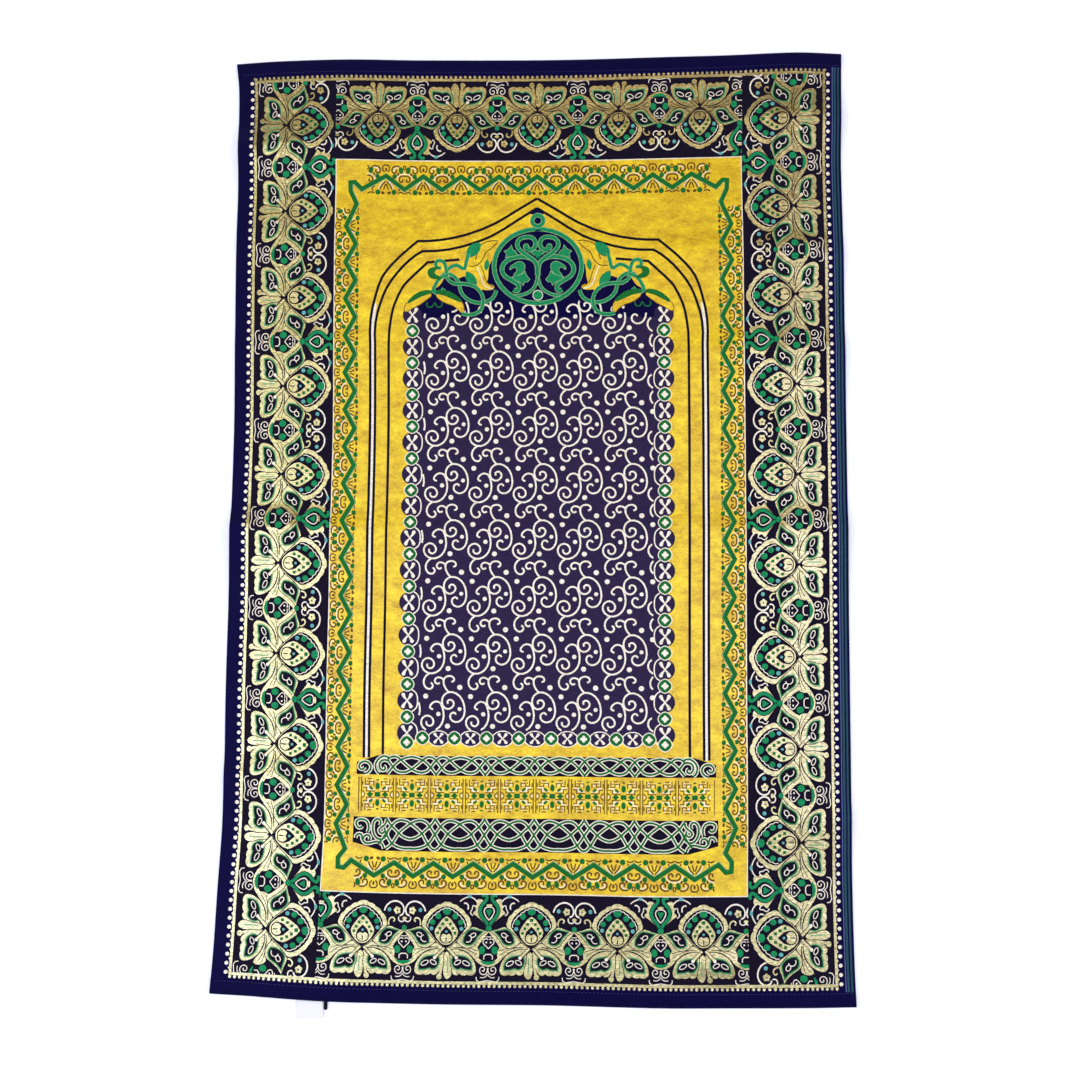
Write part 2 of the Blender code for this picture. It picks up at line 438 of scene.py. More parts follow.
def fan():
    """The round part of a palmette on the panel's side."""
    side = curve(at(0, 1.8, 6, 4.8, 13, 11, 19, 18, 26.4, 24.2))
    notches = at(26.4, 24.2, 26.2, 31.4, 21, 38.8, 14, 45, 6.6, 49)
    tip = scallops(at(6.6, 49, 0, 51.6), 0.8)
    edge = whole(side[:-1] + scallops(notches, 1.2)[:-1] + tip)
    ground = at(0, 1.8) + curve(at(5.6, 4.8, 12.4, 11, 18, 18, 22.6, 24.6))
    ground += curve(at(22.4, 29.6, 19.6, 35, 14.8, 40, 8.4, 44.4, 0, 47))
    beads = at(20.4, 24, 19.4, 29.4, 16.4, 33.6, 12.6, 37.4, 8.4, 40.8, 4.4, 43.2, 0, 44.6)
    drawing = edged(PALE_GOLD, PURPLE, edge, 0.8) + fill(PURPLE, whole(ground))
    return drawing + stroke(CREAM, scallops(beads + mirrored(beads)[1:], 1.0), 0.8)


def fan_heart():
    """What fills the fan: the lattice with its squares, the jewels, and the bud with its drop."""
    lattice = curve(at(0, 5.2, 4.6, 6.2, 8.4, 9.4, 11.6, 14, 13, 18.6))
    lattice += at(12.4, 21.6, 9, 27, 4.6, 33, 0, 36)
    drawing = fill(PALE_GOLD, whole(lattice))
    for s, d in ((9.6, 18), (7.2, 23), (4.2, 27.6)):
        drawing += both(box(LEAF, s - 1.5, d - 1.5, s + 1.5, d + 1.5))
    drawing += box(LEAF, -1.9, 30.4, 1.9, 34)
    drawing += both(fill(JEWEL, disc(9.4 + 36j, 3.3), disc(15.6 + 29.4j, 3.1)))
    drawing += both(fill(TEAL, disc(16.6 + 22.6j, 2.3))) + fill(JEWEL, oval(41j, 4.4, 3.5))
    drawing += fill(PURPLE, whole(curve(at(0, 6.6, 4.6, 7.6, 7.2, 11.4, 6.9, 16, 5.6, 19.6)) + [25.4j]))
    drawing += fill(PALE_GOLD, whole(curve(at(0, 7.6, 4, 8.6, 6, 11.8, 5.4, 15, 3, 17)) + [15.6j]))
    return drawing + stroke(PURPLE, at(0, 8.4, 0, 13.4), 1.2) + fill(TEAL, disc(19.4j, 1.5))


def sprig(side):
    """The drop on one side of a palmette's foot, and the stem with its ball on the other."""
    drop = curve(at(1, -3, -0.6, -15, -1.2, -25, 2.6, -30.6, 6.4, -26, 4.2, -15), True)
    drawing = fill(PALE_GOLD, at(-7.6, -28, -4.6, -29, -0.4, -5, -1.6, -5), disc(-6.4 - 29j, 3.1))
    drawing += fill(PURPLE, grown(drop, 1.5)) + fill(PALE_GOLD, grown(drop, 0.7))
    drawing += stroke(OLIVE, at(2.4, -8, 2.6, -25), 1.4)
    return placed(drawing, lambda z: complex(side * z.real, z.imag))


def palmette(side):
    drawing = both(petal_joint()) + both(outer_petal()) + both(inner_petal())
    return drawing + sprig(side) + fan() + fan_heart()


def owl():
    """The rounded motif between two palmettes, with two green eyes."""
    arch = at(0, -14.8, 11, -11, 16.5, -5, 18, 0, 13.5, 9, 5, 19, 0, 22.5)
    face = at(0, -9.5, 9, -7.5, 13, -2, 11.5, 5.3, 6.5, 11.7, 0, 19.5)
    brow = at(-4.7, -7.5, -4.7, -4.2, -2.5, -2.6, 2.5, -2.6, 4.7, -4.2, 4.7, -7.5)
    drawing = fill(PALE_GOLD, whole(curve(arch)))
    drawing += both(fill(JEWEL, at(0, -13.2, 5, -12, 8.8, -9.2, 4.5, -8.4, 0, -9)))
    drawing += fill(PURPLE, whole(curve(face))) + stroke(CREAM, brow, 1.0)
    drawing += both(fill(JEWEL, oval(7 + 1.4j, 3.5, 4.0)))
    drawing += both(line(CREAM, 0.9, 0, 3, 3.5, 6, 6.2, 9.5, 4.5, 12.3, 0.6, 12))
    drawing += both(fill(CREAM, disc(2.4 + 9.1j, 1.0)))
    drawing += stroke(CREAM, at(-3.2, 14.6, 3.2, 14.6), 0.8)
    drawing += both(line(CREAM, 0.9, 0.6, -15.8, 0.8, -20.2, 3, -22.2, 7, -21.8, 9, -18, 6.5, -14.9,
                         3.6, -16.3, 4.2, -18.9, 6.2, -18.4))
    drawing += line(CREAM, 0.9, -12.5, -24.6, -12, -27.8, 0, -28.2, 12, -27.8, 12.5, -24.6)
    drawing += both(line(CREAM, 0.8, 0, -22, 3.5, -25.2, 8, -25))
    return drawing + fill(JEWEL, disc(22.6j, 2.8))


def lyre():
    """The green motif that fills every second gap, next to the panel."""
    wing = with_corners(
        at(-2.5, 27, -9, 32.4, -14, 36, -17.5, 38.5), at(-17.5, 38.5, -14.5, 41.5),
        at(-14.5, 41.5, -16, 44.5), at(-16, 44.5, -13.5, 47),
        at(-13.5, 47, -14, 51, -9.5, 51.8, -6, 49, -8, 44, -8.4, 38, -2.5, 27),
    )
    strand = at(-1.2, 26.5, -3.7, 30.2, -8.2, 34.8, -10.2, 40.3, -8.2, 45.7, -4.2, 49.9, -2.7, 53.5,
                -4.7, 55.6, -8.7, 55)
    half = line(PALE_GOLD, 2.2, -2.5, 27.5, -9, 33, -14, 36.5, -17.3, 38.5)
    half += fill(PALE_GOLD, wing) + strap(JEWEL, PURPLE, curve(strand), 3.2, 0.8)
    half += line(CREAM, 1.1, 0, 31.1, -4.5, 36.6, -5.6, 40.7, -4, 43.2, 0, 43.9)
    half += fill(JEWEL, at(0.2, 34.2, -3.4, 40.2, -2, 42, 0.2, 41))
    half += fill(PALE_GOLD, at(0.2, 44.4, -3.4, 45.2, -2.8, 46.6, 0.2, 47))
    half += line(CREAM, 1.0, -15.2, 43.9, -18.2, 45.3, -18.7, 42.1, -20.7, 38.4, -17.7, 35.7)
    half += line(CREAM, 1.2, -32.7, 49.4, -27.7, 52.6, -22.2, 54, -16.7, 52.1, -13.7, 49.4)
    half += fill(TEAL, oval(-22.2 + 54.4j, 2.8, 1.6))
    half += line(CREAM, 1.4, -28.2, 47.6, -25.2, 47.6, -23.2, 44.8, -23.7, 41.6)
    return both(half) + fill(JEWEL, disc(22.9j, 3.3))


def flower(centre, radius, yarn):
    lobes = [centre + radius * complex(cos(a), sin(a)) for a in [2 * pi * i / 5 for i in range(5)]]
    return fill(yarn, scallops(lobes + lobes[:1], radius * 0.55)[:-1])


def c_scroll():
    """The gold scrolls that fill the other gaps."""
    half = line(CREAM, 1.6, -23, 39.2, -20, 45.1, -12.5, 48.9, -5, 47.4, -1, 41.9, -2, 36.4, -5.5, 34.6)
    half += flower(-8.5 + 39.8j, 3.0, PALE_GOLD) + fill(PURPLE, disc(-8.2 + 39.6j, 1.0))
    half += fill(TEAL, disc(-17.3 + 40.4j, 2.2))
    half += line(CREAM, 1.2, -6.5, 33.6, -6.3, 30, -3, 28.6, 0, 30.5)
    half += line(PALE_GOLD, 1.4, -17.5, 25.4, -17.5, 30, -14, 32.8, -11, 30.9, -12.5, 28.6)
    return both(half) + fill(PALE_GOLD, oval(32j, 2.6, 1.7))


def in_column(side, v):
    """Places a motif between palmettes in the left (side -1) or the right (side 1) border."""
    def move(z):
        out = OUTER_LONG if z.imag < 0 else 1.0
        return complex(side * (BETWEEN_P - z.imag * out), v + TALL * z.real)
    return move


def in_row(end, p):
    """Places it in the head border, or turned half round in the foot border."""
    return lambda z: end * complex(p + z.real, BETWEEN_V - TALL * z.imag)


def palmette_in_column(side, v):
    def move(z):
        inwards = z.imag * (PALMETTE_IN if z.imag > 0 else PALMETTE_OUT)
        return complex(side * (PALMETTE_P - inwards), v + PALMETTE_WIDE * z.real)
    return move


def palmette_in_row(end, p):
    return lambda z: end * complex(p + z.real, PALMETTE_V - z.imag)


def border():
    """The rows of motifs at the head and the foot, and over their ends the two columns."""
    between = [owl() + lyre(), owl() + c_scroll()]
    flowers = [palmette(1), palmette(-1)]
    drawing = []
    for end in (1, -1):
        for gap in range(-3, 3):
            drawing += placed(between[gap % 2], in_row(end, ROW_STEP * (gap + 0.5)))
        for k in range(-2, 3):
            drawing += placed(flowers[k % 2], palmette_in_row(end, ROW_STEP * k))
    for side in (1, -1):
        left, right = sorted((side * PANEL_P, side * LINE_P))
        drawing += box(PURPLE, left, -LINE_V, right, LINE_V)
        for gap in range(-5, 6):
            drawing += placed(between[gap % 2], in_column(side, COLUMN_STEP * gap + COLUMN_SHIFT))
        for k in range(10):
            v = COLUMN_STEP * (k - 4.5) + COLUMN_SHIFT
            drawing += placed(flowers[k % 2], palmette_in_column(side, v))
    return drawing


def line_and_dots():
    """The margin outside the border, with the gold line and the dots along it."""
    out, head = LINE_P, LINE_V
    drawing = box(INDIGO, CLOTH_LEFT, -HALF_LENGTH, CLOTH_RIGHT, -head)
    drawing += box(INDIGO, CLOTH_LEFT, head, CLOTH_RIGHT, HALF_LENGTH)
    drawing += box(INDIGO, CLOTH_LEFT, -head, -out, head) + box(INDIGO, out, -head, CLOTH_RIGHT, head)
    drawing += stroke(PALE_GOLD, at(-out, -head, out, -head, out, head, -out, head), LINE_WIDTH, True)
    count = int(head / SIDE_DOTS)
    for i in range(-count, count + 1):
        v = SIDE_DOTS * i
        drawing += both(fill(CREAM, disc(complex(DOT_P, v), 2.25)))
        drawing += both(fill(PALE_GOLD, disc(complex(out + 1.4, v + SIDE_DOTS / 2), 1.5)))
    count = int(out / END_DOTS)
    for i in range(-count, count + 1):
        for end in (1, -1):
            drawing += fill(PALE_GOLD, disc(complex(END_DOTS * i, end * DOT_V), 1.75))
    return drawing


def selvedge():
    """The lined selvedge on the right, which the hems fold over at both ends."""
    end = HALF_LENGTH - HEM_DEPTH + 1
    drawing = []
    for yarn, left, right in ((EDGE_BLUE, 339.6, 340.6), (EDGE_TEAL, 341.6, 344), (EDGE_TEAL, 345.6, 347.6)):
        drawing += box(yarn, left, -end, right, end)
    return drawing


# ---- the gold panel round the niche ----
ZIG_IN, ZIG_OUT = 211.8, 223.4
HEAD_TIP, HEAD_DIP = 395.5, 380.0
FOOT_TIP, FOOT_DIP = -397.2, -382.6
SIDE_PERIOD, END_PERIOD = 42.39, 44.4
SIDE_START = 315.0
HEAD_DECOR, FOOT_DECOR = 387.0, -389.5  # the line on which the zigzag's figures are centred
DECOR_P = (ZIG_IN + ZIG_OUT) / 2 + 1
DECOR_FLAT = 0.8  # how much they are flattened along the sides
NICHE_FOOT = -268.0


def zigzag_decor():
    """The small brown and green figures along one zig and zag. t runs along and w outwards."""
    valley = END_PERIOD / 2
    half = []
    for yarn, width, path in (
        (CREAM, 1.0, at(14.8, 17.6, 11.4, 17.6, 9.2, 15.6, 10, 13.8)),
        (CREAM, 1.0, at(valley, 11, 18, 10.2, 13.4, 6.6, 13.8, 3.4)),
        (CREAM, 1.0, at(2.4, 2.6, 6.4, -1.6, 9, -6.6)),
        (BROWN, 1.8, at(16.2, 19.4, 12.4, 19.8, 8.2, 18, 6.8, 14.4, 9.2, 11.6, 12.2, 12.8, 11.6, 15.6)),
        (BROWN, 1.6, at(0, 20.8, 3.4, 19.8, 4.2, 16.4, 1.8, 12.6)),
        (BROWN, 1.8, at(valley, 8.4, 17.4, 7.6, 15.6, 4.2, 17.4, 1.4, 20, 2.4, 19.4, 4.8)),
        (BROWN, 1.6, at(valley, 20.4, 20.6, 18, valley, 15.6)),
        (BROWN, 1.7, at(0.8, 2, 4.6, -2, 7, -7.4)),
        (BROWN, 1.6, at(0.6, -1, 1.8, -4.6, 2.8, -8)),
        (BROWN, 1.6, at(14, -12.2, 18, -10.6, 21.8, -12.6)),
        (BROWN, 1.5, at(13.4, -3.6, 16.4, -6.4, 14.8, -9.2)),
    ):
        half += stroke(yarn, curve(path), width)
    half += fill(LEAF, oval(17.8 + 14.9j, 2.8, 4.2, 0.2), oval(10.2 + 7.8j, 2.8, 3.1, -0.5))
    half += fill(BROWN, oval(14.4 + 10.4j, 1.4, 2.2, -0.4), oval(3.8 - 11.4j, 2.4, 1.8, 0.4))
    half += fill(LEAF, disc(9.6 - 10.6j, 3.2))
    return both(half) + fill(BROWN, oval(15.6j, 1.4, 2.4))


def zigzag_row(tip, dip):
    """The zigzag's corners along the head or the foot, from the middle to the left."""
    return [complex(-END_PERIOD * i / 2, dip if i % 2 else tip) for i in range(10)]


def zigzag_path():
    """The zigzag's corners round the left half, from the head's middle down to the foot's."""
    head_corner = at(-206, 379.5, -214, 387.5, -219.4, 387, -219, 377, -ZIG_IN, 362, -ZIG_OUT, 336)
    side = []
    for k in range(16):
        v = SIDE_START - SIDE_PERIOD * k
        side += [complex(-ZIG_IN, v), complex(-ZIG_OUT, v - SIDE_PERIOD / 2)]
    foot_corner = at(-ZIG_IN, -368.8, -219, -378.5, -218.6, -388.8, -212, -389.8, -204, -381.5)
    foot = zigzag_row(FOOT_TIP, FOOT_DIP)[::-1]
    return zigzag_row(HEAD_TIP, HEAD_DIP)[:-1] + head_corner + side + foot_corner + foot[1:]


def decor_in_column(side, v):
    """Places the zigzag's figures along the panel's left (side -1) or right (side 1) edge."""
    squeeze = SIDE_PERIOD / END_PERIOD
    return lambda z: complex(side * (DECOR_P + z.imag * DECOR_FLAT), v + squeeze * z.real)


def zigzag():
    path = zigzag_path()
    loop = path + [-z.conjugate() for z in path[-2:0:-1]]
    decor = zigzag_decor()
    drawing = []
    for k in range(-4, 5):
        drawing += shifted(decor, complex(END_PERIOD * k, HEAD_DECOR))
        drawing += placed(decor, lambda z, k=k: complex(END_PERIOD * k + z.real, FOOT_DECOR - z.imag))
    for k in range(17):
        for side in (1, -1):
            drawing += placed(decor, decor_in_column(side, SIDE_START - SIDE_PERIOD * (k - 0.5)))
    return drawing + stroke(OLIVE, grown(loop, -1.6), 3.2, True) + stroke(LEAF, loop, 4.9, True)


def niche_lines():
    """The dark lines that follow the niche, with a cream one between the outer two."""
    cream = curve(at(-188.8, 246, -190.6, 230, -191.2, 200)) + [complex(-190.7, NICHE_FOOT)]
    half = stroke(CREAM, cream, 4.0)
    for arch, shoulder, foot in (
        (at(0, 369.7, -22.5, 356.4, -47.5, 341.2, -82.5, 327.2, -112.5, 321, -138.8, 319.5),
         at(-138.8, 319.5, -147, 312.6, -170, 291, -180.5, 277, -188, 256, -191.8, 241, -194, 200),
         -193.5),
        (at(0, 358.6, -22.5, 344.4, -52.5, 325.8, -72.5, 317.8, -102.5, 310, -133.2, 307.8),
         at(-133.2, 307.8, -141, 303, -162.5, 282.5, -175.5, 264, -182, 248, -185.8, 236, -188.3, 200),
         -187.8),
        (at(-90, 298.4, -105, 297, -127, 294.8),
         at(-127, 294.8, -138, 284.6, -147, 276, -155.6, 266.6, -161, 257, -166.2, 245, -170.2, 228,
            -172.4, 200),
         -171.9),
    ):
        half += stroke(PURPLE, curve(arch) + curve(shoulder)[1:] + [complex(foot, NICHE_FOOT)], 3.0)
    tip = at(-9.4, 352, 0, 358.4, 9.4, 352, 5, 350.8, 0, 352, -5, 350.8)
    return both(half) + fill(INDIGO, tip)


def crown_ground():
    """The indigo ground of the field's head, as far as the vines reach."""
    edge = at(0, 331, 30, 322, 46, 306, 55, 292, 58, 272, 66, 262, 76, 268, 84, 279, 92, 276, 104, 279,
              114, 267, 124, 262, 140, 252, 152, 240, 156, 231)
    return whole(curve(edge) + [231j])


def crown():
    """The round scrollwork at the top of the niche, with the vines on both sides of it."""
    ring = oval(288.9j, 50.6, 43.2)
    drawing = fill(INDIGO, ring) + both(crown_vines() + crown_scrolls() + crown_leaves())
    drawing += strap(JEWEL, OLIVE, ring, 4.0, 0.7, True)
    drawing += fill(INDIGO, at(-4.6, 329.4, 0, 331.8, 4.6, 329.4))
    drawing += fill(JEWEL, at(-3, 331.6, 3, 331.6, 3, 336, -3, 336))
    for yarn, centre, radius in (
        (OLIVE, 341.8j, 9.2), (JEWEL, 341.8j, 8.4), (OLIVE, 341.8j, 4.8), (INDIGO, 341.8j, 4.0),
        (CREAM, 255j, 6.2), (JEWEL, 255j, 5.3),
    ):
        drawing += fill(yarn, disc(centre, radius))
    return drawing


def crown_scrolls():
    """The straps that curl in the right half of the ring."""
    drawing = []
    for width, path in (
        (2.6, at(0.6, 284, 0.6, 273.7, 2.4, 267.4, 6, 261.8, 12.9, 257.2, 22.2, 254.7, 29.1, 254.1)),
        (4.0, at(0.6, 278, 0.6, 286, 2, 292, 6, 296.6, 12, 299, 21, 299.7, 31.4, 297.4, 39.2, 291.6,
                 41.4, 284.1, 37.8, 277.2, 30.3, 272.6, 24.5, 269.1, 21.8, 264.5, 23.4, 260.4,
                 28, 261.4)),
        (3.7, at(0.6, 288, 4, 294.8, 9.4, 299.4, 15.2, 303.2, 21.8, 308.7, 23.8, 314.4, 21, 320,
                 14.1, 322.6, 6.9, 322, 3, 317.6, 3, 311.8, 6.8, 307.8, 11.6, 307.6)),
    ):
        drawing += strap(JEWEL, OLIVE, curve(path), width, 0.7)
    return drawing


def crown_leaves():
    """The small green shapes between them, and half of the heart on the middle line."""
    comma = at(15.2, 286.6, 15.4, 290.4, 18, 293.2, 22, 293.8, 26.6, 291.8, 30.4, 289, 32, 285.2,
               28.2, 287.6, 25, 287, 23.8, 284.4, 24.9, 281.4, 27.4, 278.8, 23, 276.8, 18.6, 280.6)
    star = at(9.5, 273.4, 12.9, 277.2, 15, 282.4, 18.4, 279, 22.6, 278, 29, 276.2, 26, 272.4, 21, 271,
              17, 266.8, 15.4, 271.2, 12, 270.6)
    trefoil = at(23.4, 301.6, 26.2, 306.2, 29, 307.4, 30.4, 312.4, 33.2, 308.4, 38.4, 306, 35.7, 303,
                 36.8, 299.2)
    heart = with_corners(
        at(0, 305.6, 3, 307.2, 7.2, 304.6), at(7.2, 304.6, 4.2, 301.8, 0, 297), at(0, 297, 0, 305.6))
    drawing = []
    for edge in (curve(comma, True), star, trefoil, oval(13.3 + 310.9j, 3.0, 3.6)):
        drawing += edged(JEWEL, OLIVE, edge, 0.7)
    drawing += line(JEWEL, 3.7, 8, 307.6, 12, 308.4, 13.8, 310.4)
    return drawing + stroke(OLIVE, heart[:-1], 1.4) + fill(JEWEL, heart)


def leaf(root, tip, width):
    """A pointed green leaf from its root to its tip."""
    way = tip - root
    side = 1j * unit(way) * width / 2
    middle = root + way * 0.45
    return fill(JEWEL, with_corners([root, middle + side, tip], [tip, middle - side, root]))


def crown_vines():
    """The vines and leaves on the right of the crown."""
    gold_leaf = at(46, 319, 56, 316, 66, 315, 78, 302, 84, 290, 80, 280, 72, 266, 60, 261, 50, 264,
                   60, 270, 64, 280, 68, 290, 60, 300, 52, 308)
    drawing = fill(GOLD, curve(gold_leaf))
    drawing += line(BROWN, 1.2, 46, 318, 58, 317.4, 66, 313, 70, 304, 72, 296)
    drawing += line(BROWN, 1.2, 47, 316, 54, 309, 60, 305, 63, 298, 70, 290, 80, 289)
    drawing += line(BROWN, 1.0, 51, 264.6, 59, 270.6, 62.6, 281, 66, 290)
    drawing += line(CREAM, 1.3, 52, 262.6, 62, 267, 66, 278, 70, 288)
    drawing += leaf(66 + 316j, 83 + 299j, 13) + leaf(71 + 264j, 83 + 283j, 11)
    drawing += leaf(58 + 297j, 60 + 283j, 6)
    for low_leaf in (
        at(117.8, 255.3, 113, 249.8, 106, 246, 98.2, 243.5, 92, 239, 86.4, 234.6, 85.6, 240.8,
           88.2, 247.4, 96.4, 249.8, 107.3, 254.4),
        at(123.6, 256.2, 129, 249.8, 136.4, 244.4, 145.5, 239.8, 154, 236, 151.8, 245, 143.6, 248.9,
           134.5, 253.5, 127.3, 257.1),
    ):
        drawing += edged(GOLD, BROWN, curve(low_leaf, True), 0.9)
    for vine in (
        at(80, 304, 83, 293, 85, 286, 94, 290, 103, 286, 107, 279),
        at(48, 261, 52, 252, 60, 247.4, 71, 246.6, 82, 251, 89, 259, 91.6, 270, 97, 277, 106, 280,
           112, 276.6),
        at(88, 234, 78, 232.6, 68, 236, 63, 246, 65, 257, 73, 265.4, 86, 268.4, 97, 268.6, 105, 275,
           106, 285, 110, 294, 116.6, 294.6, 117.6, 288, 112, 287),
        at(105, 278, 113, 275, 119, 266, 121, 260, 114, 258, 108.6, 263),
    ):
        drawing += strap(JEWEL, OLIVE, curve(vine), 3.2, 0.6)
    for green_leaf in (
        at(114, 286, 122, 287.4, 127.4, 284, 126.6, 277, 119, 273.4, 112, 275.4, 116, 278, 119.6, 281,
           117, 285),
        at(118.6, 259.4, 109, 261, 100, 258.6, 92.7, 253.6, 88.2, 248, 96.4, 249.4, 107.3, 254.2),
        at(122.4, 259.8, 130.9, 260.8, 140, 257.4, 147.3, 251.7, 151, 245.8, 143.6, 248.5, 134.5, 253.3),
    ):
        drawing += fill(LEAF, curve(green_leaf, True))
    return drawing + line(LEAF, 1.4, 111, 247, 112, 242, 117, 242, 119, 246, 122, 242, 128, 242, 128, 247)


SCROLL_P, SCROLL_V = 50.8, 64.25  # the scrollwork's repeat across and up the field
SCROLL_EYE = -117 + 219j
SCROLL_FLAT = 0.968


def scroll():
    """One repeat of the field's scrollwork, with its main spiral's eye at 0."""
    drawing = []
    for path in (
        at(-103, 241, -99.5, 232, -99.5, 221, -104, 212.5, -112, 208.3, -119, 209.5, -124.3, 216, -123, 223,
           -117, 226, -111.5, 222.5, -110.8, 217, -114.5, 214, -118.2, 216, -118.2, 219.4),
        at(-116, 208, -121, 203, -122, 197, -119, 191.5, -114, 190.5, -111.5, 194, -114, 197.6),
        at(-99.5, 201, -103, 203.5, -107, 203.5, -109.5, 200, -107, 196.4, -103.8, 197.6),
        at(-94, 187.5, -98, 193, -99.5, 199, -98, 203.5, -93.5, 205.5, -88.5, 204, -87.5, 200.5,
           -90.6, 198.9),
        at(-99.8, 171, -101, 177, -99, 183, -93, 187, -85, 185.5, -78.5, 179, -75.5, 170, -76, 160,
           -80, 154, -86, 152.5, -91, 156, -91, 161.5, -87.5, 163.5, -85, 161),
        at(-99.8, 171, -95, 167.5, -90, 169, -87.5, 174, -90.5, 178, -94.6, 176.6, -94, 173.6),
        at(-99.8, 172, -103, 174.5, -108, 176, -113, 173, -114.5, 169, -111, 167),
    ):
        drawing += stroke(CREAM, curve([z - SCROLL_EYE for z in path]), 2.0)
    for dot, radius in (
        (-105 + 228j, 2.6), (-94.5 + 214j, 3.0), (-81 + 192.5j, 3.1), (-119.5 + 182j, 3.0),
        (-81 + 167.5j, 2.4),
    ):
        drawing += fill(CREAM, disc(dot - SCROLL_EYE, radius))
    return placed(drawing, lambda z: complex(z.real, z.imag * SCROLL_FLAT))


CHAIN_P, CHAIN_STEP = 144.5, 36.4
LINKS = [215.5 - CHAIN_STEP * k for k in range(13)]  # where the links are along the field's sides
FOOT_STEP = 36.2


def link():
    """A green four-lobed link of the chain round the field."""
    lobes = [8.4 * 1j ** i for i in range(4)]
    edge = curve([z for lobe in lobes for z in (lobe, lobe * (0.66 + 0.66j))], True)
    core = curve([z for lobe in lobes for z in (lobe * 0.5, lobe * (0.24 + 0.24j))], True)
    return fill(CREAM, edge) + fill(LEAF, grown(edge, -1.0)) + fill(CREAM, core)


def bead():
    """The dark bead between two links, with a cream cross of four petals on it."""
    drawing = fill(FIELD, oval(0j, 11.4, 11.6))
    for turn in (1, -1):
        for side in (1, -1):
            drawing += fill(CREAM, [complex(side * a, turn * b) for a, b in (
                (-0.4, 0.4), (1.8, 4.2), (2.8, 8.2), (5.2, 8.8), (6.8, 6.6), (4.8, 3.6), (0.4, -0.4))])
    return drawing


def niche_field():
    """The purple field in the niche, with its scrollwork and the chain round it."""
    head, foot, side = FIELD_HEAD, FIELD_FOOT, CHAIN_P
    # The field's satin is painted lighter and greyer than the border's, as painted sheen.
    drawing = box(FIELD, -side, foot, side, head) + fill(INDIGO, crown_ground())
    repeat, scrolls = scroll(), []
    for column in range(-1, 7):
        for row in range(-1, 8):
            scrolls += shifted(repeat, complex(-120.8 + SCROLL_P * column, 223.5 - SCROLL_V * row))
    drawing += inside(scrolls, -131, foot + 9, 131, head) + inside(scrolls, -98, head - 0.01, 98, 250)
    drawing += side_beads() + foot_chain()
    for v in LINKS + [foot - 5.4]:
        drawing += both(shifted(link(), complex(-side, v)))
    return drawing


def side_beads():
    """The beads along both sides of the field, with a cream arc beside each."""
    arc = curve(at(5.4, -6, 10.6, -10.4, 12, -18.2, 10.6, -26, 5.4, -30.4))
    drawing = []
    for v in LINKS:
        drawing += both(shifted(bead(), complex(-CHAIN_P, v - CHAIN_STEP / 2)))
        drawing += both(stroke(CREAM, [z + complex(-CHAIN_P, v) for z in arc], 1.4))
    return drawing + both(shifted(bead(), complex(-CHAIN_P, LINKS[0] + CHAIN_STEP / 2)))


def foot_chain():
    """The row of links and beads along the foot of the field."""
    v = FIELD_FOOT
    drawing = []
    for k in range(-3, 4):
        p = FOOT_STEP * k
        edge = oval(complex(p, v - 0.4), 12.4, 9.4)
        drawing += fill(CREAM, edge) + fill(FIELD, grown(edge, -1.2))
        drawing += placed(bead()[1:], lambda z, p=p: complex(p + z.real * 0.88, v + z.imag * 0.7))
    for k in range(8):
        drawing += shifted(link(), complex(FOOT_STEP * (k - 3.5), v))
    return drawing


# ---- the two interlace bands and the tiles between them ----
STRAP_PERIOD = 55.4
STRAP_MIDDLES = [STRAP_PERIOD * (k + 0.5) for k in range(-3, 3)]
UPPER_BAND, LOWER_BAND = -275.9, -343.8
TILE_STEP, TILE_V = 39.4, -308.6


def straps(paths):
    """Interlaced straps: cream, with a green line along the middle."""
    return strokes(CREAM, 4.2, *paths) + strokes(LEAF, 2.2, *paths)


def with_mirror_images(paths, middle):
    """Both halves of a band's straps, moved up to the band's middle."""
    raised = [[z + 1j * middle for z in path] for path in paths]
    return raised + [mirrored(path) for path in raised]


def upper_band():
    """One strap that peaks in each repeat, another that crosses under it, and the knots at the ends."""
    t = STRAP_PERIOD / 2
    arch = curve(at(-t, -9.4, -21.6, -1.9, -13.5, 5.6, -6.8, 8.6, 0, 9.9))
    run = at(-t, 6.1, -23.2, 9.4, -18.2, 9.8, -13.2, 7, -6.5, 1, 0, -4.1, 6, -6.9, 12.2, -7.6,
             17.9, -5.6, 21.6, -1.6)
    paths = at_each(arch, STRAP_MIDDLES)
    paths.append(curve([z + m for m in STRAP_MIDDLES for z in run] + [complex(6 * t, 6.1)]))
    for end in (
        at(-164, 7.6, -171.1, 9.9, -176.1, 7.1, -180, 0.9, -179.2, -5.4, -175.5, -9.6),
        at(-166, 5, -172.4, 5.2, -175.5, 1.5, -174.9, -3.5, -171.7, -6, -168.6, -4.1, -170.5, -1),
        at(-192.6, -10.2, -186.7, -6.9, -185.1, -1.9, -188.2, 2.4, -193.2, 3.4, -198, 0.3,
           -198.2, -3.9, -194.9, -5.4, -192.1, -2.6),
    ):
        paths.append(curve(end))
    c = UPPER_BAND
    edge = at(-201.2, c - 10.8, 201.2, c - 10.8, 201.2, c + 2.7, 176, c + 11.2, -176, c + 11.2,
              -201.2, c + 2.7)
    return fill(PURPLE, edge) + straps(with_mirror_images(paths, c))


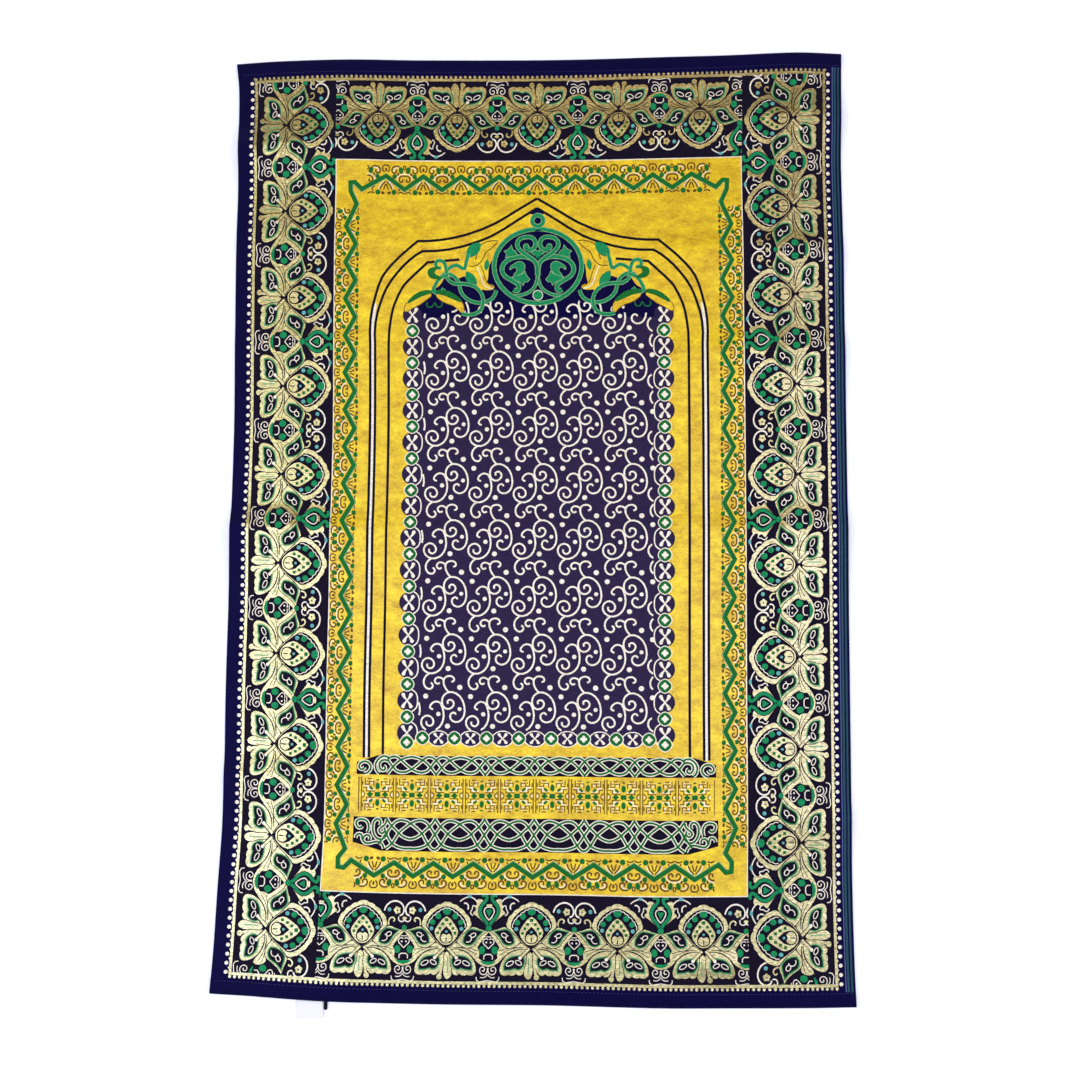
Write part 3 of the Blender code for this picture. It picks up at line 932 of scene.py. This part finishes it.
def lower_band():
    """The upper band turned over, with straps that also loop and sag below it."""
    t = STRAP_PERIOD / 2
    dip = curve(at(-t, 9.4, -21.6, 1, -17, -3, -13.5, -6.5, -7, -11, 0, -13))
    over = curve(at(0, 4, 6, 6.9, 12.2, 7.6, 17.9, 5, 21.6, 1, t, -7.5, 31, -13, 34.5, -17.8,
                    41, -21.5, 2 * t, -23.1))
    loop = curve(at(0, 4, 6.5, -0.8, 13.2, -6.5, 19.8, -17.5, t, -24.4, 35.6, -17.5, 42.2, -6.5,
                    48.9, -0.8, 2 * t, 4))
    paths = at_each(dip, STRAP_MIDDLES)
    paths += at_each(over, STRAP_MIDDLES[:-1]) + at_each(loop, STRAP_MIDDLES[:-1])
    for end in (
        at(-163.6, -2.5, -164.9, -7.5, -170.5, -13.8, -176.1, -13.1, -180.5, -7.5, -181.7, 0,
           -179.9, 6.3, -175.5, 8.4, -172.6, 5, -174, 1),
        at(-166.2, 7.5, -168, 2, -171.7, -0.6, -174.4, -4, -171, -7.4, -168, -5),
        at(-187.4, -6.3, -186.2, 0, -188.6, 5.6, -194.2, 7.6, -199.9, 5.6, -200.2, 1.3, -196.7, -2,
           -193.4, 0),
        at(-200.5, -13.1, -198.6, -9, -194.2, -9, -193, -13.8, -189.8, -18.1, -183.6, -18.1,
           -176.1, -16.3, -170.5, -18.8, -168, -24),
        at(-184.6, -14.6, -185.5, -10, -190.5, -10.6, -191.7, -14.4),
    ):
        paths.append(curve(end))
    for end in (
        at(0, 4, -6, 6.9, -12.2, 7.6, -17.9, 5, -21.6, 1, -t, -7.5, -32, -14, -36, -19),
        at(0, -23.1, -14.4, -21.5, -20.9, -17.8, -24.4, -13, -t, -7.5, -30, -1),
        at(0, 4, -6.5, -0.8, -13.2, -6.5, -19.8, -17.5, -t, -24),
    ):
        paths.append(curve([z - 5 * t for z in end]))
    c = LOWER_BAND
    edge = at(-203.6, c + 10.4, -203.6, c - 17.5, -171, c - 26.2, 171, c - 26.2, 203.6, c - 17.5,
              203.6, c + 10.4)
    return fill(PURPLE, edge) + straps(with_mirror_images(paths, c))


def tile():
    """One gold tile with a green cross and a brown maze round it."""
    quarter = strokes(CREAM, 1.2, at(3.4, 5.4, 10.6, 5.4, 10.6, 9.2, 15.6, 9.2), at(6.4, 16, 6.4, 12, 8, 12))
    quarter += stroke(CREAM, at(11.8, 17, 11.8, 12.4), 1.1)
    quarter += fill(CREAM, at(13.8, 0, 17.4, -1.2, 17.4, 1.2)) + fill(LEAF, oval(7.5 + 7j, 2.9, 1.5, 0.75))
    quarter += strokes(
        BROWN, 1.1, at(3.2, 3.4, 12.4, 3.4, 12.4, 7.4, 16.6, 7.4),
        at(4.4, 9.6, 4.4, 14.2, 9.6, 14.2, 9.6, 10.8, 14, 10.8, 14, 17.6))
    quarter += strokes(
        BROWN, 1.2, at(16.8, 10.2, 16.8, 14.4), at(6.6, 17.2, 11.6, 17.2), at(11.6, 13.4, 11.6, 15.2),
        at(14.6, 1.6, 17.4, 4))
    half = both(quarter)
    drawing = half + placed(half, lambda z: z.conjugate())
    for turn in (1, -1):
        upright = [turn * 5.2j, complex(2.6, turn * 9.4), turn * 13.4j, complex(-2.6, turn * 9.4)]
        level = [turn * z for z in at(4.8, 0, 8.8, -3.6, 12.4, 0, 8.8, 3.6)]
        drawing += fill(LEAF, curve(upright, True), level, oval(turn * 16j, 1.9, 1.0))
        drawing += fill(BROWN, oval(turn * 14.6 + 0j, 0.8, 1.7))
    drawing += box(LEAF, -3.2, -2.6, 3.2, 2.6)
    for p in (-TILE_STEP / 2 - 1.5, -TILE_STEP / 2 + 1.5):
        drawing += box(BROWN, p - 0.6, -19, p + 0.6, 19)
    return drawing


def tiles():
    drawing = box(GOLD, -198, TILE_V - 22, 198, TILE_V + 20)
    one = tile()
    for k in range(10):
        drawing += shifted(one, complex(TILE_STEP * (k - 4.5), TILE_V))
    return drawing + box(BROWN, 198.6, TILE_V - 19, 199.6, TILE_V + 19)


def panel():
    """The gold panel with its zigzag, the niche, the two bands and the tiles."""
    edge = at(-PANEL_P, PANEL_FOOT, PANEL_P, PANEL_FOOT, PANEL_P, PANEL_HEAD, -PANEL_P, PANEL_HEAD)
    drawing = fill(CREAM, edge) + fill(GOLD, grown(edge, -1.1)) + zigzag()
    niche_top = niche_lines() + niche_field() + shifted(crown(), 0.8 + 1.9j)
    return drawing + niche_top + upper_band() + tiles() + lower_band()


def whole_pattern():
    """The ground and all that is woven on it, but no motif that would reach over a hem's fold."""
    ground = fill(PURPLE, evenly_round_the_edge())
    edge = HALF_LENGTH - 3
    motifs = [(yarn, outline) for yarn, outline in border() if max(abs(z.imag) for z in outline) < edge]
    return ground + motifs + line_and_dots() + panel() + selvedge()


def evenly(start, end, step):
    cells = round(abs(end - start) / step)
    return [start + (end - start) * i / cells for i in range(cells + 1)]


def evenly_round_the_edge():
    """The cloth's edge, with a point at every grid step and at each row of the hems."""
    across = evenly(CLOTH_LEFT, CLOTH_RIGHT, GRID)
    up = rows_of_points()
    edge = [complex(p, -HALF_LENGTH) for p in across[:-1]]
    edge += [complex(CLOTH_RIGHT, v) for v in up[:-1]]
    edge += [complex(p, HALF_LENGTH) for p in across[:0:-1]]
    return edge + [complex(CLOTH_LEFT, v) for v in up[:0:-1]]


def rows_of_points():
    """Heights on the cloth for its grid: even, and closer through each hem's fold and edge."""
    plain = HALF_LENGTH - HEM_DEPTH - HEM_SOFTNESS / 2
    hem = [plain + 2, plain + 4, plain + 6, HALF_LENGTH - 6, HALF_LENGTH - 1.6, HALF_LENGTH - 0.7,
           HALF_LENGTH]
    return [-v for v in reversed(hem)] + evenly(-plain, plain, GRID) + hem


# ---- from the drawing to the cloth ----
def numbered(drawing):
    """The drawing's points once each, and its outlines as rings of their numbers."""
    numbers, rings, yarns = {}, [], []
    for yarn, outline in drawing:
        ring = []
        for z in outline if area(outline) > 0 else outline[::-1]:
            number = numbers.setdefault((round(z.real, 3), round(z.imag, 3)), len(numbers))
            if not ring or ring[-1] != number:
                ring.append(number)
        if ring[0] == ring[-1]:
            ring.pop()
        if len(ring) > 2 and abs(area(outline)) > 0.01:
            rings.append(ring)
            yarns.append(yarn)
    return [Vector(key) for key in numbers], rings, yarns


def yarn_borders(triangles, yarns):
    """Each point's neighbours along the borders between yarns, and the points on the cloth's edge."""
    beside, joined, on_edge = {}, {}, set()
    for triangle, yarn in zip(triangles, yarns):
        for a, b in zip(triangle, triangle[1:] + triangle[:1]):
            beside.setdefault((min(a, b), max(a, b)), []).append(yarn)
    for (a, b), found in beside.items():
        if len(found) == 1:
            on_edge |= {a, b}
        if len(found) == 1 or found[0] != found[1]:
            joined.setdefault(a, set()).add(b)
            joined.setdefault(b, set()).add(a)
    return joined, on_edge


def straighten(joined, on_edge, points):
    """Takes out the points that a border runs straight through."""
    for a in [a for a in joined if a not in on_edge]:
        if len(joined[a]) != 2:
            continue
        b, c = joined[a]
        way = points[c] - points[b]
        off = abs(way.cross(points[a] - points[b])) / max(way.length, 0.001)
        if off < STRAIGHT and c not in joined[b]:
            joined[b] ^= {a, c}
            joined[c] ^= {a, b}
            del joined[a]


def split_edges(joined, points):
    """The borders' edges, with points added so that none is longer than the grid."""
    numbers = {}
    kept = []
    for a in joined:
        numbers[a] = len(kept)
        kept.append(points[a])
    edges = []
    for a, b in [(a, b) for a in joined for b in joined[a] if a < b]:
        way = points[b] - points[a]
        cuts = max(1, ceil(way.length / GRID - 0.2))
        run = [numbers[a], *range(len(kept), len(kept) + cuts - 1), numbers[b]]
        kept += [points[a] + way * i / cuts for i in range(1, cuts)]
        edges += zip(run, run[1:])
    return kept, edges


def cut_in_triangles(drawing, grid):
    """The drawing as points, triangles and each triangle's yarn.

    The first cut finds the yarn that is on top everywhere. The second keeps only the borders
    between yarns, and adds the grid, so that the cloth can bend between them.
    """
    points, rings, yarns = numbered(drawing)
    cut = geometry.delaunay_2d_cdt(points, [], rings, 1, SAME_POINT, True)
    points, triangles = cut[0], cut[2]
    yarns = [yarns[max(under)] for under in cut[5]]
    first = BVHTree.FromPolygons([p.to_3d() for p in points], triangles)
    joined, on_edge = yarn_borders(triangles, yarns)
    straighten(joined, on_edge, points)
    kept, edges = split_edges(joined, points)
    kept += [Vector((z.real, z.imag)) for z in grid]
    cut = geometry.delaunay_2d_cdt(kept, edges, [], 0, SAME_POINT, False)
    points, triangles = np.array([tuple(p) for p in cut[0]]), cut[2]
    middles = points[np.array(triangles)].mean(1)
    down = Vector((0, 0, -1))
    under = [first.ray_cast(Vector((p, v, 1)), down)[2] for p, v in middles]
    return points, triangles, [PURPLE if i is None else yarns[i] for i in under]


def back_triangles_of(edge_line):
    """The back's points and triangles, and for each point the numbers of its edge points."""
    rows = evenly(-HALF_LENGTH, HALF_LENGTH, BACK_GRID)
    points = [Vector((z.real, z.imag)) for z in edge_line + inner_grid(BACK_GRID, rows)]
    cut = geometry.delaunay_2d_cdt(points, [], [list(range(len(edge_line)))], 1, SAME_POINT, True)
    return np.array([tuple(p) for p in cut[0]]), cut[2], cut[3]


def inner_grid(step, rows):
    columns = evenly(CLOTH_LEFT, CLOTH_RIGHT, step)[1:-1]
    return [complex(p, v) for v in rows[1:-1] for p in columns]


def on_cloth(points):
    """Chart points as u and v on the cloth."""
    p, v = points.T
    return p + along_table(CREEP_ACROSS, p), v + along_table(CREEP_UP, v)


def slopes(u, v):
    """The upward normals of the cloth's top."""
    step = 0.8
    along = (top_height(u + step, v) - top_height(u - step, v)) / 2 / step
    inner = np.clip(v, -HALF_LENGTH + step, HALF_LENGTH - step)
    up = (top_height(u, inner + step) - top_height(u, inner - step)) / 2 / step
    normals = np.stack([-along, -up, np.ones_like(up)], 1)
    return normals / np.linalg.norm(normals, axis=1)[:, None]


def round_the_edge(points):
    """The numbers of the points on the cloth's edge, in their order round it."""
    p, v = points.T
    foot, head = np.abs(v + HALF_LENGTH) < 0.01, np.abs(v - HALF_LENGTH) < 0.01
    left, right = np.abs(p - CLOTH_LEFT) < 0.01, np.abs(p - CLOTH_RIGHT) < 0.01
    place = np.full(len(p), -1.0)
    place[left] = WIDTH * 2 + LENGTH + (HALF_LENGTH - v)[left]
    place[head] = WIDTH + LENGTH + (CLOTH_RIGHT - p)[head]
    place[right] = WIDTH + (v + HALF_LENGTH)[right]
    place[foot] = (p - CLOTH_LEFT)[foot]
    found = np.flatnonzero(place >= 0)
    return [int(i) for i in found[np.argsort(place[found])]]


def rim(start, end, first):
    """Three rings of points that round the cloth's edge, numbered on from first.

    start and end are the edge's points on the top and on the back.
    """
    ahead, behind = np.roll(start, -1, 0), np.roll(start, 1, 0)
    outwards = np.stack([(ahead - behind)[:, 1], (behind - ahead)[:, 0], 0 * ahead[:, 0]], 1)
    outwards /= np.linalg.norm(outwards, axis=1)[:, None]
    verts, rings = [], []
    for share, bulge in ((0.15, 0.6), (0.5, 1.0), (0.85, 0.6)):
        verts.append(start + (end - start) * share + outwards * EDGE_ROUND * bulge)
        rings.append(range(first, first + len(start)))
        first += len(start)
    return verts, rings


def rug_mesh():
    """The cloth as one closed piece: the pattern on top, the rim round it and the plain back."""
    top, triangles, yarns = cut_in_triangles(whole_pattern(), inner_grid(GRID, rows_of_points()))
    edge = round_the_edge(top)
    back, back_triangles, sources = back_triangles_of([complex(*top[i]) for i in edge])
    first_back = len(top)
    back_of = {source: first_back + i for i, found in enumerate(sources) for source in found}
    back_edge = [back_of[k] for k in range(len(edge))]
    u, v = on_cloth(top)
    u_back, v_back = on_cloth(back)
    verts = np.concatenate([
        np.stack([*lie(u, v), top_height(u, v)], 1),
        np.stack([*lie(u_back, v_back), relief(u_back, v_back)], 1)])
    rim_verts, rim_rings = rim(verts[edge], verts[back_edge], len(verts))
    verts = np.concatenate([verts, *rim_verts])
    faces = [tuple(t) for t in triangles]
    faces += [tuple(first_back + i for i in reversed(t)) for t in back_triangles]
    slots = list(yarns) + [BACK] * len(back_triangles)
    rings = [edge, *rim_rings, back_edge]
    for above, below in zip(rings, rings[1:]):
        for i in range(len(edge)):
            j = (i + 1) % len(edge)
            faces.append((above[i], below[i], below[j], above[j]))
            slots.append(INDIGO)
    mesh = bpy.data.meshes.new("rug_cloth_woven")
    mesh.from_pydata([tuple(c) for c in verts * MM], [], faces)
    for name in YARNS:
        mesh.materials.append(bpy.data.materials[name])
    mesh.polygons.foreach_set("material_index", np.array(slots, np.int32))
    lay_flat_map(mesh, top, back, len(triangles), len(back_triangles), len(edge))
    normals = np.zeros((len(verts), 3))
    normals[:first_back] = slopes(u, v)
    mesh.shade_smooth()
    mesh.normals_split_custom_set_from_vertices([tuple(n) for n in normals])
    return mesh


# The texture map: the corners of its two halves, their size, and the strip between them.
TOP_CORNER, BACK_CORNER, HALF_MAP = (0.005, 0.01), (0.515, 0.01), (0.48, 0.98)
RIM_START, RIM_STEP = 0.489, 0.0055


def lay_flat_map(mesh, top, back, top_faces, back_faces, edge_count):
    """A texture map with the top on the left half, the back on the right and the rim between."""
    layer = mesh.uv_layers.new(name="OFBake")
    places = np.zeros((len(mesh.loops), 2))
    loop_vertex = np.zeros(len(mesh.loops), np.int32)
    mesh.loops.foreach_get("vertex_index", loop_vertex)
    flat = np.concatenate([top, back])
    share = (flat - [CLOTH_LEFT, -HALF_LENGTH]) / [WIDTH, LENGTH]
    top_loops = 3 * top_faces
    back_loops = top_loops + 3 * back_faces
    places[:top_loops] = share[loop_vertex[:top_loops]] * HALF_MAP + TOP_CORNER
    places[top_loops:back_loops] = share[loop_vertex[top_loops:back_loops]] * HALF_MAP + BACK_CORNER
    for face in range(4 * edge_count):
        ring, i = divmod(face, edge_count)
        for corner, (down, on) in enumerate(((0, 0), (1, 0), (1, 1), (0, 1))):
            up = TOP_CORNER[1] + HALF_MAP[1] * (i + on) / edge_count
            places[back_loops + 4 * face + corner] = RIM_START + RIM_STEP * (ring + down), up
    layer.data.foreach_set("uv", places.ravel())


# ---- materials ----
def tone(text):
    """A colour from its sRGB hex, as linear numbers."""
    parts = [int(text[i:i + 2], 16) / 255 for i in (1, 3, 5)]
    return (*[c / 12.92 if c <= 0.04045 else ((c + 0.055) / 1.055) ** 2.4 for c in parts], 1.0)


def add(tree, kind, inputs, **settings):
    """Adds a node with its settings. inputs gives each socket a value or another node's output."""
    made = tree.nodes.new(kind)
    for name, value in settings.items():
        setattr(made, name, value)
    for name, value in inputs.items():
        if isinstance(value, bpy.types.NodeSocket):
            tree.links.new(value, made.inputs[name])
        else:
            made.inputs[name].default_value = value
    return made


def woven(name, dark, light, metallic, roughness, streak=(150, 900), octaves=3.0, grain=0.68, bump=0.25,
          gloss=0.5, shine="#ffffff", crush=0.0, coat=0.0):
    """A yarn as it lies in the weave. Its tone varies in short streaks along the weft.

    streak is how many streaks fit in a metre across and up: drawn about three times coarser
    than the real yarns, which a photograph of the whole rug can't show. octaves is how many
    finer sizes of streak lie on top, and grain how strong each is against the last. shine is
    the tint of the gloss. crush is how deep the soft dents are that folding and handling leave
    in the floats. coat is how much clear lacquer shows.
    """
    made = bpy.data.materials.new(name)
    made.use_nodes = True
    tree = made.node_tree
    tree.nodes.clear()
    place = add(tree, "ShaderNodeTexCoord", {})
    stretch = add(tree, "ShaderNodeMapping", {"Vector": place.outputs["Object"], "Scale": (*streak, 100)})
    yarn = add(tree, "ShaderNodeTexNoise", {
        "Vector": stretch.outputs["Vector"], "Scale": 1.0, "Detail": octaves, "Roughness": grain})
    share = add(tree, "ShaderNodeMapRange", {"Value": yarn.outputs["Fac"], "From Min": 0.3, "From Max": 0.7})
    ramp = add(tree, "ShaderNodeValToRGB", {"Fac": share.outputs["Result"]})
    ramp.color_ramp.elements[0].color = tone(dark)
    ramp.color_ramp.elements[1].color = tone(light)
    lift = add(tree, "ShaderNodeBump", {"Height": yarn.outputs["Fac"], "Strength": bump, "Distance": 0.0008})
    if crush:
        dents = add(tree, "ShaderNodeTexNoise", {
            "Vector": place.outputs["Object"], "Scale": 80.0, "Detail": 4.0, "Roughness": 0.65,
            "Distortion": 0.6})
        lift = add(tree, "ShaderNodeBump", {
            "Height": dents.outputs["Fac"], "Strength": 1.0, "Distance": crush,
            "Normal": lift.outputs["Normal"]})
    shader = add(tree, "ShaderNodeBsdfPrincipled", {
        "Base Color": ramp.outputs["Color"], "Metallic": metallic, "Roughness": roughness,
        "Normal": lift.outputs["Normal"], "Specular IOR Level": gloss, "Specular Tint": tone(shine),
        "Coat Weight": coat, "Coat Roughness": 0.3, "Coat IOR": 1.65})
    add(tree, "ShaderNodeOutputMaterial", {"Surface": shader.outputs["BSDF"]})
    return made


def plain(name, colour, roughness):
    made = bpy.data.materials.new(name)
    made.use_nodes = True
    shader = made.node_tree.nodes["Principled BSDF"]
    shader.inputs["Base Color"].default_value = tone(colour)
    shader.inputs["Roughness"].default_value = roughness
    return made


def make_yarns():
    # Polyester satin, yarn-dyed purple: long smooth floats, whose low gloss comes back through
    # the dyed fibre and so is purple too.
    woven("purple_border_satin", "#0b0814", "#130e1e", 0.0, 0.6, bump=0.12, shine="#584a60")
    # The same satin in the field, painted lighter and greyer than in the border: a painted sheen, for the
    # light that the field's satin catches.
    woven("purple_field_satin", "#150f28", "#2a1e3a", 0.0, 0.55, bump=0.15, shine="#8e80a8")
    # A bluer dye lot of the satin, where only the ground shows.
    woven("indigo_satin", "#04031e", "#0b0832", 0.0, 0.55, bump=0.1, shine="#40388c")
    # Metallised film slit to flat yarn: a gold mirror under clear lacquer, broken up by the weave.
    woven("pale_gold_lurex", "#94803c", "#fff2a8", 1.0, 0.3, (260, 700), bump=0.4, crush=0.0012, coat=0.5)
    # The same film in deep yellow, packed close in the panel, with its dyed core showing.
    woven("yellow_gold_lurex", "#a87000", "#ffe220", 0.4, 0.4, (34, 60), 6.0, 0.95, bump=0.5, gloss=0.25,
          crush=0.0008, coat=0.35)
    woven("cream_weft", "#c6b896", "#fcf4de", 0.3, 0.45, bump=0.5)
    woven("jewel_green_weft", "#066438", "#0e9052", 0.0, 0.6, gloss=0.15)
    woven("leaf_green_weft", "#064c16", "#0c6e28", 0.0, 0.6, gloss=0.15)
    woven("olive_weft", "#5c8450", "#94b884", 0.3, 0.5, gloss=0.3)
    woven("brown_weft", "#3c2404", "#6c480e", 0.0, 0.6, gloss=0.2)
    woven("teal_weft", "#3a8078", "#6ab0a8", 0.0, 0.5, gloss=0.3)
    woven("selvedge_teal", "#06303a", "#0c434c", 0.0, 0.55, gloss=0.3)
    woven("selvedge_blue", "#3c4c74", "#4c5c84", 0.0, 0.55, gloss=0.3)
    # The back shows the purple ground with the pattern wefts floating across it.
    woven("rug_back", "#241c3c", "#5c4c30", 0.1, 0.6)


# ---- the small pieces ----
def closed_sheet(name, columns, rows, place, thick):
    """A thin closed sheet. place(a, b) gives its middle surface's point in millimetres."""
    verts, faces = [], []
    across, up = len(columns), len(rows)
    for level in (-0.5, 0.5):
        for b in rows:
            for a in columns:
                x, y, z = place(a, b)
                verts.append((x * MM, y * MM, (z + level * thick) * MM))
    top = across * up
    for j in range(up - 1):
        for i in range(across - 1):
            k = j * across + i
            faces.append((k, k + across, k + across + 1, k + 1))
            faces.append((top + k, top + k + 1, top + k + across + 1, top + k + across))
    ring = list(range(across)) + [j * across + across - 1 for j in range(1, up)]
    ring += [(up - 1) * across + i for i in reversed(range(across - 1))]
    ring += [j * across for j in reversed(range(1, up - 1))]
    for a, b in zip(ring, ring[1:] + ring[:1]):
        faces.append((a, b, top + b, top + a))
    mesh = bpy.data.meshes.new(name)
    mesh.from_pydata(verts, [], faces)
    mesh.shade_smooth()
    mesh.set_sharp_from_angle(angle=radians(50))
    return mesh


def add_piece(mesh, finish=None):
    made = bpy.data.objects.new(mesh.name, mesh)
    bpy.context.scene.collection.objects.link(made)
    if finish:
        mesh.materials.append(finish)
    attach(made, "root")
    return made


LABEL = dict(width=29.5, length=33.0, p=-242.3, turn=radians(4), thick=0.5, tuck=14.0)
TAPE = dict(width=4.0, length=23.5, p=-223.0, thick=0.6, tuck=14.0)
STITCH_PITCH = 4.3


def tuck_line(u):
    return float(lie(np.array([u]), np.array([-HALF_LENGTH]))[1][0])


def care_label():
    """The blank satin label: it lies out from under the hem and lifts a little at its end."""
    turn = complex(cos(LABEL["turn"]), sin(LABEL["turn"]))
    start = tuck_line(LABEL["p"]) + LABEL["tuck"]

    def place(a, b):
        z = turn * complex(a, b)
        out = max(0.0, -b - LABEL["tuck"])
        lift = 0.35 + 0.045 * out + 0.35 * sin(a / 5.2) * out / 21
        return LABEL["p"] + z.real, start + z.imag, lift

    columns = evenly(-LABEL["width"] / 2, LABEL["width"] / 2, 2)
    rows = evenly(-LABEL["length"], 0, 2.5)
    return closed_sheet("care_label_tape", columns, rows, place, LABEL["thick"])


def tape_end():
    """The end of the dark tape, with its round end and its two corded edges."""
    start = tuck_line(TAPE["p"]) + TAPE["tuck"]
    radius = TAPE["width"] / 2

    def place(a, b):
        end = TAPE["length"] + b
        narrow = sqrt(max(0.05, 1 - (1 - min(1.0, end / radius)) ** 2))
        out = max(0.0, -b - TAPE["tuck"])
        return TAPE["p"] + a * narrow, start + b, 0.35 + 0.03 * out + 0.1 * abs(a / radius) ** 3

    columns = evenly(-radius, radius, 0.5)
    rows = [-TAPE["length"] + t for t in (0, 0.15, 0.5, 1.0, 1.5)] + evenly(-TAPE["length"] + 2, 0, 2)
    return closed_sheet("tape_end_loop", columns, rows, place, TAPE["thick"])


def hem_stitches(end):
    """A row of thread stitches along a hem's inner edge, each a small rounded bar."""
    verts, faces = [], []
    v = end * (HALF_LENGTH - HEM_DEPTH + 1.6)
    for u in np.arange(-344, 345, STITCH_PITCH):
        base = len(verts)
        places = np.array([u, u + 0.5, u + 2.5, u + 3.0])
        heights = top_height(places, np.full(4, v))
        x, y = lie(places, np.full(4, v))
        for k, size in enumerate((0.05, 0.22, 0.22, 0.05)):
            for a in range(6):
                turn = 2 * pi * a / 6
                z = heights[k] + 0.05 + size * sin(turn)
                verts.append((x[k] * MM, (y[k] + size * cos(turn)) * MM, z * MM))
        for k in range(3):
            for a in range(6):
                b = (a + 1) % 6
                faces.append((base + 6 * k + a, base + 6 * k + 6 + a, base + 6 * k + 6 + b, base + 6 * k + b))
        faces.append(tuple(base + a for a in range(6)))
        faces.append(tuple(base + 18 + a for a in reversed(range(6))))
    mesh = bpy.data.meshes.new("hem_stitches_head" if end > 0 else "hem_stitches_foot")
    mesh.from_pydata(verts, [], faces)
    mesh.shade_smooth()
    return mesh


# ---- the room ----
FLOOR_Z = -0.0003  # a little under the cloth, which then never shares its plane


def floor():
    mesh = bpy.data.meshes.new("pale_floor")
    corners = [(-5, -5), (5, -5), (5, 5), (-5, 5)]
    mesh.from_pydata([(x, y, FLOOR_Z) for x, y in corners], [], [(0, 1, 2, 3)])
    made = bpy.data.objects.new("pale_floor", mesh)
    bpy.context.scene.collection.objects.link(made)
    mesh.materials.append(plain("white_painted_board", "#f4f4f4", 0.8))
    return made


def softbox(name, place, size, strength, target=None, colour="#ffffff"):
    """A flat light that looks down, or at a target. strength is how bright its face is."""
    data = bpy.data.lights.new(name, "AREA")
    data.shape = "RECTANGLE"
    data.size, data.size_y = size
    data.energy = strength * pi * size[0] * size[1]
    data.color = tone(colour)[:3]
    made = bpy.data.objects.new(name, data)
    made.location = place
    way = Vector(target or (place[0], place[1], 0)) - Vector(place)
    made.rotation_euler = way.to_track_quat("-Z", "Y").to_euler()
    bpy.context.scene.collection.objects.link(made)


def light():
    bpy.context.scene.view_settings.view_transform = "Standard"
    # The gold mirrors what hangs over it: a broad even light over the middle of the room,
    softbox("overhead_light", (0.0, -0.25, 2.5), (3.8, 2.2), 0.7)
    # brighter, cooler ones over the foot's left and the right side, and one over the left side,
    softbox("foot_left_light", (-1.18, -0.7, 2.4), (1.0, 1.3), 6.0, colour="#aec0ff")
    softbox("right_light", (0.8, -0.08, 2.4), (0.66, 1.24), 5.8, colour="#aebaff")
    softbox("left_light", (-1.12, 0.5, 2.4), (1.0, 1.1), 1.6, colour="#d0e4ff")
    # and warm ones over the head: bright over the panel's, and dim over the border's, which looks brown.
    softbox("panel_head_light", (-0.15, 1.05, 2.4), (1.15, 0.4), 2.0, colour="#ffd488")
    softbox("head_light", (-0.1, 1.6, 2.5), (3.0, 1.0), 0.14, colour="#ffcc80")
    # Two low side lights light the room without showing in the gold.
    softbox("left_side_light", (-3.4, -0.2, 1.5), (2.4, 1.6), 6.2, (0, 0, 0))
    softbox("right_side_light", (3.4, -0.2, 1.5), (2.4, 1.6), 6.2, (0, 0, 0))
    bpy.context.scene.world = pale_room()


def pale_room():
    """The room's walls are pale, so that the gold shines from the side, and its ceiling is dim."""
    world = bpy.data.worlds.new("pale_room")
    world.use_nodes = True
    tree = world.node_tree
    way = add(tree, "ShaderNodeTexCoord", {})
    height = add(tree, "ShaderNodeSeparateXYZ", {"Vector": way.outputs["Generated"]})
    glow = add(tree, "ShaderNodeMapRange", {
        "Value": height.outputs["Z"], "From Min": 0.5, "From Max": 0.75, "To Min": 0.8, "To Max": 0.1})
    back = tree.nodes["Background"]
    back.inputs["Color"].default_value = tone("#ffffff")
    tree.links.new(glow.outputs["Result"], back.inputs["Strength"])
    return world


def camera():
    data = bpy.data.cameras.new("photo_camera")
    data.lens, data.sensor_width = 47.8, 36.0
    made = bpy.data.objects.new("photo_camera", data)
    made.location = (0.0949, -0.1880, 1.5932)
    made.rotation_euler = (radians(6.05), radians(3.09), radians(0.35))
    bpy.context.scene.collection.objects.link(made)
    bpy.context.scene.camera = made


def main():
    make_yarns()
    rug = add_piece(rug_mesh())
    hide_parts("rug_cloth")
    thread = plain("purple_sewing_thread", "#141040", 0.5)
    stitches = [add_piece(hem_stitches(end), thread) for end in (1, -1)]
    # White polyester satin tape, left blank: smooth, with a soft shine.
    label = add_piece(care_label(), plain("white_satin_tape", "#dfddd7", 0.42))
    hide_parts("care_label")
    # Black grosgrain tape, dull because of its ribs.
    tape = add_piece(tape_end(), woven("black_grosgrain_tape", "#040406", "#0a0a0c", 0.0, 0.8, gloss=0.15))
    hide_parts("tape_end")
    ground = floor()
    light()
    camera()


main()
